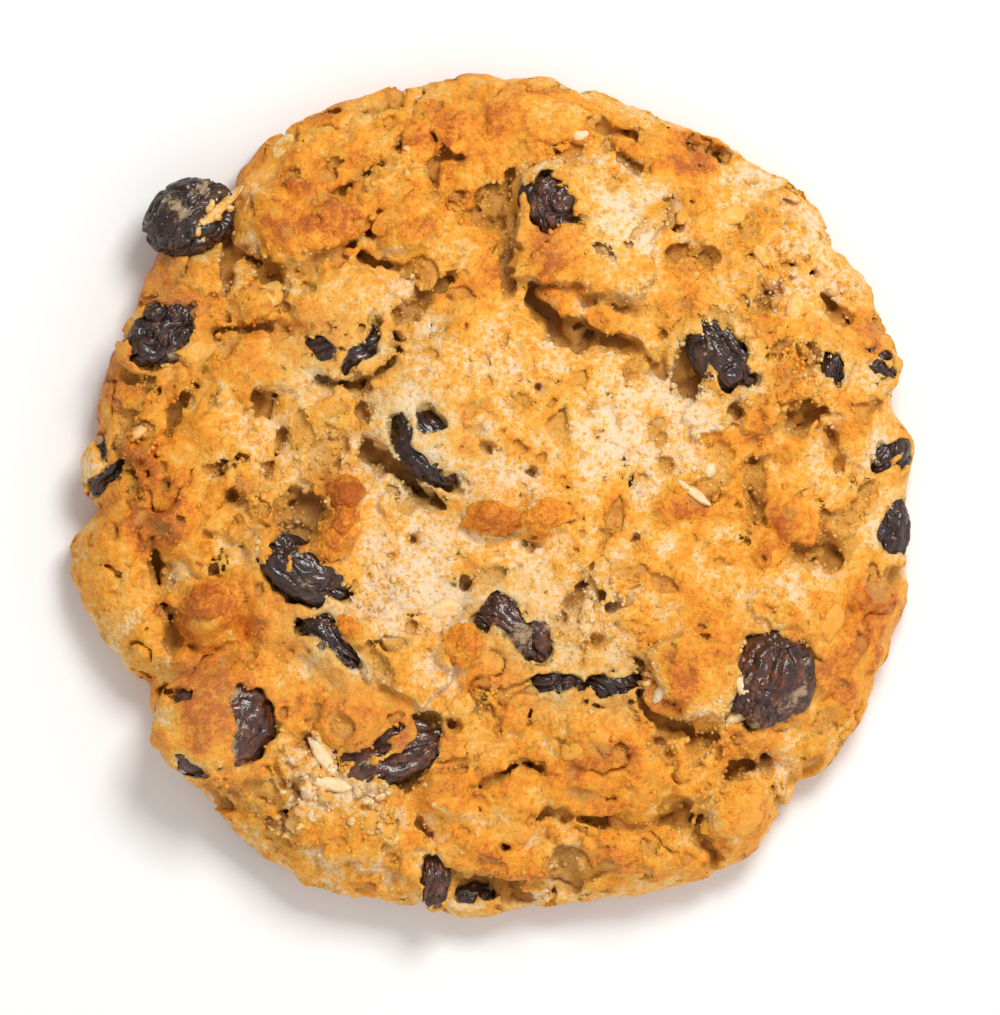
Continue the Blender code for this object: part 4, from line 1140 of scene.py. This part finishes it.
def raisin_points(name, seed, around_count, along_count):
    """A wrinkled raisin: an ellipsoid drawn in along folds that run mostly lengthwise."""
    centre, radii, axes = raisin_frame(name)
    polar = np.linspace(0.0, math.pi, along_count + 1)[1:-1]
    around = np.arange(around_count) * 2.0 * math.pi / around_count
    polar, around = (grid.ravel() for grid in np.meshgrid(polar, around, indexing="ij"))
    ends = np.array(((1.0, 0.0, 0.0), (-1.0, 0.0, 0.0)))
    body = np.column_stack([np.cos(polar), np.sin(polar) * np.cos(around), np.sin(polar) * np.sin(around)])
    unit = np.concatenate([ends[:1], body, ends[1:]])
    place = unit * radii
    shift = np.array((7.3, 3.1, 5.7)) * (seed + 1)
    warp = np.column_stack([noise_at(place * 0.35 + shift + offset) for offset in (0.0, 11.0, 23.0)])
    folds = noise_at((place + 1.1 * warp) * np.array((0.12, 0.42, 0.42)) + shift)
    wrinkles = noise_at((place + 0.9 * warp) * np.array((0.26, 1.15, 1.15)) + 2.0 * shift)
    creases = noise_at((place + 0.5 * warp) * np.array((0.60, 2.40, 2.40)) + 3.0 * shift)
    swell = 1.06 - 0.24 * FOLDS.get(name, 1.0) * np.exp(-((folds / 0.20) ** 2)) + 0.05 * folds
    drawn = -0.40 * np.exp(-((wrinkles / 0.26) ** 2)) - 0.12 * np.exp(-((creases / 0.32) ** 2))
    shaped = place * swell[:, None] + unit * drawn[:, None]
    return centre + shaped @ axes


def raisin_faces(around_count, along_count):
    """The raisin's faces as triangles."""
    rings = along_count - 1
    index = 1 + np.arange(rings * around_count).reshape(rings, around_count)
    after = np.roll(index, -1, axis=1)
    last = rings * around_count + 1
    near = np.column_stack([np.zeros(around_count, int), index[0], after[0]])
    far = np.column_stack([np.full(around_count, last), after[-1], index[-1]])
    first = np.stack([index[:-1], index[1:], after[1:]], axis=-1).reshape(-1, 3)
    second = np.stack([index[:-1], after[1:], after[:-1]], axis=-1).reshape(-1, 3)
    return np.concatenate([near, first, second, far])


def add_object(name, mesh, material):
    """A piece of the cookie that rides on its only body."""
    mesh.materials.append(material)
    thing = bpy.data.objects.new(name, mesh)
    bpy.context.scene.collection.objects.link(thing)
    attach(thing, "root")
    return thing


def make_raisins(dough, material):
    for seed, name in enumerate(RAISINS):
        counts = FINE_MESH if name in FINE_RAISINS else PLAIN_MESH
        points = raisin_points(name, seed, *counts)
        mesh = new_mesh(name + "_skin", points, raisin_faces(*counts))
        buried = -sampled(dough.grid, dough.field, points)
        film = RAISINS[name][3] + 0.40 * smoothstep((buried + 0.30) / 0.35)
        for x, y, radius, amount in FILMS.get(name, ()):
            film += amount * np.exp(-((points[:, 0] - x) ** 2 + (points[:, 1] - y) ** 2) / radius**2)
        add_attribute(mesh, "film", film)
        add_attribute(mesh, "warm", np.full(len(points), 1.0 if name in WARM_RAISINS else 0.25))
        thing = add_object(name + "_skin", mesh, material)
        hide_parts(name)


def top_heights(dough):
    """The height of the cookie's surface at each point of the plan, mm, and the same smoothed."""
    solid = dough.field < 0.0
    for name in RAISINS:
        window, distance = dough.raisin_window(name)
        solid[window] |= distance < -0.2
    levels = dough.grid.axes[2]
    heights = levels[len(levels) - 1 - solid[:, :, ::-1].argmax(axis=2)]
    heights = np.where(solid.any(axis=2), heights, 0.0)
    reach = int(round(0.9 / VOXEL))
    smooth = heights.copy()
    for axis in (0, 1):
        smooth = sum(np.roll(smooth, step, axis) for step in range(-reach, reach + 1)) / (2 * reach + 1)
    return heights, smooth


def look_up(heights, x, y):
    """The height at points of the plan."""
    column = ((np.asarray(x) - GRID_LOW[0]) / VOXEL).astype(int)
    row = ((np.asarray(y) - GRID_LOW[1]) / VOXEL).astype(int)
    return heights[column, row]


def make_flakes(smooth, material):
    """Rolled oats: thin ovals with a groove along the middle that lie on the crust."""
    generator = np.random.default_rng(21)
    around = np.arange(28) * 2.0 * math.pi / 28
    rings = (0.35, 0.7, 0.9, 1.0)
    points = []
    faces = []
    tones = []
    for x, y, length, width, turn, lean, browned in FLAKES:
        start = len(points)
        shell = flake_shell(around, rings, length, width, generator)
        angle = math.radians(turn)
        tip = math.radians(lean)
        tones += [browned] * len(shell)
        for px, py, pz in shell:
            across = py * math.cos(tip) - pz * math.sin(tip)
            place_x = x + px * math.cos(angle) - across * math.sin(angle)
            place_y = y + px * math.sin(angle) + across * math.cos(angle)
            base = 0.5 * look_up(smooth, place_x, place_y) + 0.5 * look_up(smooth, x, y)
            points.append((place_x, place_y, base + py * math.sin(tip) + pz * math.cos(tip) + 0.10))
        faces += [tuple(start + index for index in face) for face in shell_faces(len(around), len(rings))]
    mesh = new_mesh("oat_flakes", points, faces)
    add_attribute(mesh, "bake_and_painted_light", tones)
    add_object("oat_flakes", mesh, material)


def flake_shell(around, rings, length, width, generator):
    """The two sides of one flake: a centre point and rings above, the same below."""
    ragged = 1.0 + 0.07 * np.convolve(generator.standard_normal(len(around)), (0.5, 0.8, 0.5), "same")
    shell = []
    for side in (1.0, -1.0):
        shell.append((0.0, 0.0, side * min(0.60, max(0.28, 1.0 - 0.28 * width)) - 0.08))
        for ring in rings:
            for angle, rough in zip(around, ragged):
                px = 0.5 * length * ring * math.cos(angle) * (rough if ring > 0.8 else 1.0)
                py = 0.5 * width * ring * math.sin(angle) * (rough if ring > 0.8 else 1.0)
                thick = min(0.60, max(0.28, 1.0 - 0.28 * width)) * (1.0 - ring**3) + 0.03
                groove = -0.10 * math.exp(-((py / 0.18) ** 2)) * (1.0 - ring)
                curl = -0.10 * (py / (0.5 * width)) ** 2
                shell.append((px, py, side * thick + groove + curl))
    return shell


def shell_faces(count, ring_count):
    """Triangles of a flake: both sides and the edge between them."""
    faces = []
    side_size = 1 + count * ring_count
    for side in (0, 1):
        base = side * side_size
        turned = (lambda a, b, c: (a, b, c)) if side == 0 else (lambda a, b, c: (a, c, b))
        for index in range(count):
            after = (index + 1) % count
            faces.append(turned(base, base + 1 + index, base + 1 + after))
            for ring in range(ring_count - 1):
                inner = base + 1 + ring * count
                outer = inner + count
                faces.append(turned(inner + index, outer + index, outer + after))
                faces.append(turned(inner + index, outer + after, inner + after))
    rim = 1 + (ring_count - 1) * count
    for index in range(count):
        after = (index + 1) % count
        faces.append((rim + index, side_size + rim + index, side_size + rim + after))
        faces.append((rim + index, side_size + rim + after, rim + after))
    return faces


def round_pattern(subdivisions):
    """A ball of triangles, one unit in radius."""
    mesh = bpy.data.meshes.new("round_pattern")
    shell = bmesh.new()
    bmesh.ops.create_icosphere(shell, subdivisions=subdivisions, radius=1.0)
    shell.to_mesh(mesh)
    shell.free()
    unit = mesh_points(mesh) * MM
    pattern = np.array([tuple(face.vertices) for face in mesh.polygons])
    bpy.data.meshes.remove(mesh)
    return unit, pattern


def make_nubs(smooth, material):
    """Well browned lumps of dough that stand out of the crust, with an uneven skin."""
    unit, pattern = round_pattern(5)
    points = []
    faces = []
    tones = []
    for number, (x, y, half_length, half_width, turn, half_height, browned) in enumerate(NUBS):
        shift = 7.0 * (number + 1)
        angle = math.radians(turn)
        place = unit * np.array((half_length, half_width, half_height))
        swell = 1.0 + 0.16 * noise_at(place * 0.8 + shift) + 0.09 * noise_at(place * 1.9 + shift)
        place = place * swell[:, None] + unit * (0.10 * noise_at(place * 4.2 + shift))[:, None]
        place_x = x + place[:, 0] * math.cos(angle) - place[:, 1] * math.sin(angle)
        place_y = y + place[:, 0] * math.sin(angle) + place[:, 1] * math.cos(angle)
        base = 0.6 * look_up(smooth, place_x, place_y) + 0.4 * float(look_up(smooth, x, y))
        faces.append(pattern + len(unit) * number)
        points.append(np.column_stack([place_x, place_y, base + place[:, 2]]))
        crown = np.clip(unit[:, 2], 0.0, 1.0)
        tones.append(browned * (0.75 + 0.25 * smoothstep(crown / 0.8)))
    points = np.concatenate(points)
    mesh = new_mesh("browned_nubs", points, np.concatenate(faces))
    add_attribute(mesh, "bake_and_painted_light", np.concatenate(tones) + 0.05 * noise_at(points * 0.7))
    add_attribute(mesh, "depth", np.zeros(len(points)))
    add_attribute(mesh, "stain", np.zeros(len(points)))
    add_object("browned_nubs", mesh, material)


def make_crumbs(heights, material):
    """Loose crumbs: small uneven lumps that cling to the crust."""
    generator = np.random.default_rng(31)
    unit, pattern = round_pattern(2)
    points = []
    faces = []
    for centre_x, centre_y, spread, count, radius in CRUMBS:
        for _ in range(count):
            x = centre_x + spread * generator.standard_normal() * 0.5
            y = centre_y + spread * generator.standard_normal() * 0.5
            size = radius * math.exp(0.35 * generator.standard_normal())
            shift = generator.uniform(0.0, 30.0, 3)
            swell = 1.0 + 0.42 * noise_at(unit * 1.1 + shift)
            squash = generator.uniform(0.7, 1.15, 3)
            base = float(look_up(heights, x, y))
            lump = unit * swell[:, None] * squash * size + np.array((x, y, base + 0.10 * size))
            faces.append(pattern + len(unit) * len(points))
            points.append(lump)
    mesh = new_mesh("crumbs", np.concatenate(points), np.concatenate(faces))
    flat = np.concatenate(points)
    add_attribute(mesh, "bake_and_painted_light", 0.26 + 0.12 * noise_at(flat * 0.3))
    add_attribute(mesh, "depth", np.zeros(len(flat)))
    add_attribute(mesh, "stain", np.zeros(len(flat)))
    add_object("crumbs", mesh, material)


# Grains that cling to the crust and make it sandy: how many, and their mean radius in mm.
GRAIN_COUNT = 9200
GRAIN_RADIUS = 0.20


def make_grains(dough, crust, material):
    """Fine crumbs half sunk in the crust, most of them where it is torn or crumbly."""
    generator = np.random.default_rng(41)
    points = mesh_points(crust)
    normals = mesh_normals(crust)
    share = rim_share(points[:, 0], points[:, 1])
    spots = sum(
        amount * np.exp(-((points[:, 0] - x) ** 2 + (points[:, 1] - y) ** 2) / radius**2)
        for x, y, radius, amount in CRUMBLY
    )
    values = {}
    for name in ("bake_and_painted_light", "depth", "stain"):
        values[name] = np.empty(len(points), np.float32)
        crust.attributes[name].data.foreach_get("value", values[name])
    torn = smoothstep(values["depth"] / 0.8) * (values["depth"] < 2.5)
    chance = (0.04 + 1.6 * spots + 0.5 * torn) * (normals[:, 2] > 0.1) * (points[:, 2] > 7.0) * (share < 0.96)
    chosen = generator.choice(len(points), GRAIN_COUNT, replace=False, p=chance / chance.sum())
    pattern, triangles = icosahedron()
    sizes = GRAIN_RADIUS * np.exp(0.35 * generator.standard_normal(GRAIN_COUNT))
    shape = pattern[None] * (1.0 + 0.22 * generator.standard_normal((GRAIN_COUNT, len(pattern), 1)))
    centre = points[chosen] - 0.25 * sizes[:, None] * normals[chosen]
    centre += 0.10 * generator.standard_normal(centre.shape) * np.array((1.0, 1.0, 0.0))
    corners = centre[:, None] + shape * sizes[:, None, None]
    faces = triangles[None] + np.arange(GRAIN_COUNT)[:, None, None] * len(pattern)
    mesh = new_mesh("grains", corners.reshape(-1, 3), faces.reshape(-1, 3))
    for name, value in values.items():
        tone = value[chosen]
        if name == "bake_and_painted_light":
            tone = tone - 0.06 + 0.06 * generator.standard_normal(GRAIN_COUNT)
        # Grains keep half the depth, and so half the painted shade of the hollows.
        if name == "depth":
            tone = 0.5 * tone
        add_attribute(mesh, name, np.repeat(np.clip(tone, 0.0, 3.0), len(pattern)))
    add_object("grains", mesh, material)


def icosahedron():
    """Twelve points and twenty triangles."""
    golden = (1.0 + math.sqrt(5.0)) / 2.0
    points = []
    for first in (-1.0, 1.0):
        for second in (-golden, golden):
            points += [(0.0, first, second), (first, second, 0.0), (second, 0.0, first)]
    points = np.array(points) / math.hypot(1.0, golden)
    gaps = np.linalg.norm(points[:, None] - points[None], axis=-1)
    near = (gaps > 0.1) & (gaps < 1.2)
    triangles = []
    for a in range(12):
        for b in range(a + 1, 12):
            for c in range(b + 1, 12):
                if near[a, b] and near[b, c] and near[a, c]:
                    facing = np.dot(np.cross(points[b] - points[a], points[c] - points[a]), points[a])
                    triangles.append((a, b, c) if facing > 0.0 else (a, c, b))
    return points, np.array(triangles)


def make_dough(material):
    grid = Grid()
    dough = Dough(grid)
    points, faces = net_surface(grid, dough.field)
    dense = new_mesh("dense", points, faces)
    points, faces = decimated(dense, DOUGH_TRIANGLES)
    points, faces = largest_part(points, faces)
    mesh = new_mesh("dough_crust", points, faces)
    dough_looks(dough, mesh)
    thing = add_object("dough_crust", mesh, material)
    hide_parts("dough")
    make_grains(dough, mesh, material)
    return dough


# The view: straight down on the cookie, from far enough to be nearly without perspective.
VIEW_WIDTH = 0.110
VIEW_CENTRE = (0.0011, -0.001375)
CAMERA_DISTANCE = 3.0
SENSOR = 36.0


def make_camera():
    data = bpy.data.cameras.new("camera")
    camera = bpy.data.objects.new("camera", data)
    bpy.context.scene.collection.objects.link(camera)
    data.sensor_fit = "HORIZONTAL"
    data.sensor_width = SENSOR
    data.lens = SENSOR * CAMERA_DISTANCE / VIEW_WIDTH
    camera.location = (*VIEW_CENTRE, WIDEST_HEIGHT * MM + CAMERA_DISTANCE)
    bpy.context.scene.camera = camera


# The sky's mean strength, and how much brighter it is towards one side.
SKY_MEAN = 0.62
SKY_SLOPE = 0.46
SKY_BRIGHT_SIDE = (0.50, -0.86, 0.0)


def add_light(name, place, size, power, colour):
    """A square soft light that faces the cookie."""
    data = bpy.data.lights.new(name, "AREA")
    data.shape = "SQUARE"
    data.size = size
    data.energy = power
    data.color = colour
    light = bpy.data.objects.new(name, data)
    light.location = place
    light.rotation_euler = Vector(place).to_track_quat("Z", "Y").to_euler()
    bpy.context.scene.collection.objects.link(light)


def make_stage():
    """A plain pale floor, a white surround and soft light from behind and to the right."""
    mesh = bpy.data.meshes.new("floor")
    reach = 0.6
    mesh.from_pydata([(-reach, -reach, 0.0), (reach, -reach, 0.0), (reach, reach, 0.0), (-reach, reach, 0.0)], [], [(0, 1, 2, 3)])
    nodes = Nodes("floor")
    nodes.set(Base_Color=(0.90, 0.90, 0.90), Roughness=0.7)
    mesh.materials.append(nodes.material)
    floor = bpy.data.objects.new("floor", mesh)
    bpy.context.scene.collection.objects.link(floor)
    add_light("key", (0.13, 0.26, 0.52), 0.20, 2.50, (1.0, 0.99, 0.97))
    world = bpy.data.worlds.new("surround")
    world.use_nodes = True
    tree = world.node_tree
    sky = tree.nodes["Background"]
    sky.inputs["Color"].default_value = (1.0, 1.0, 1.0, 1.0)
    facing = tree.nodes.new("ShaderNodeVectorMath")
    facing.operation = "DOT_PRODUCT"
    facing.inputs[1].default_value = SKY_BRIGHT_SIDE
    tree.links.new(tree.nodes.new("ShaderNodeTexCoord").outputs["Generated"], facing.inputs[0])
    strength = tree.nodes.new("ShaderNodeMath")
    strength.operation = "MULTIPLY_ADD"
    strength.inputs[1].default_value = SKY_SLOPE
    strength.inputs[2].default_value = SKY_MEAN
    tree.links.new(facing.outputs["Value"], strength.inputs[0])
    tree.links.new(strength.outputs["Value"], sky.inputs["Strength"])
    bpy.context.scene.world = world
    bpy.context.scene.view_settings.view_transform = "Standard"


def main():
    crumb = dough_material()
    dough = make_dough(crumb)
    make_raisins(dough, raisin_material())
    heights, smooth = top_heights(dough)
    make_flakes(smooth, oat_material())
    make_nubs(smooth, crumb)
    make_crumbs(heights, crumb)
    make_camera()
    make_stage()


main()
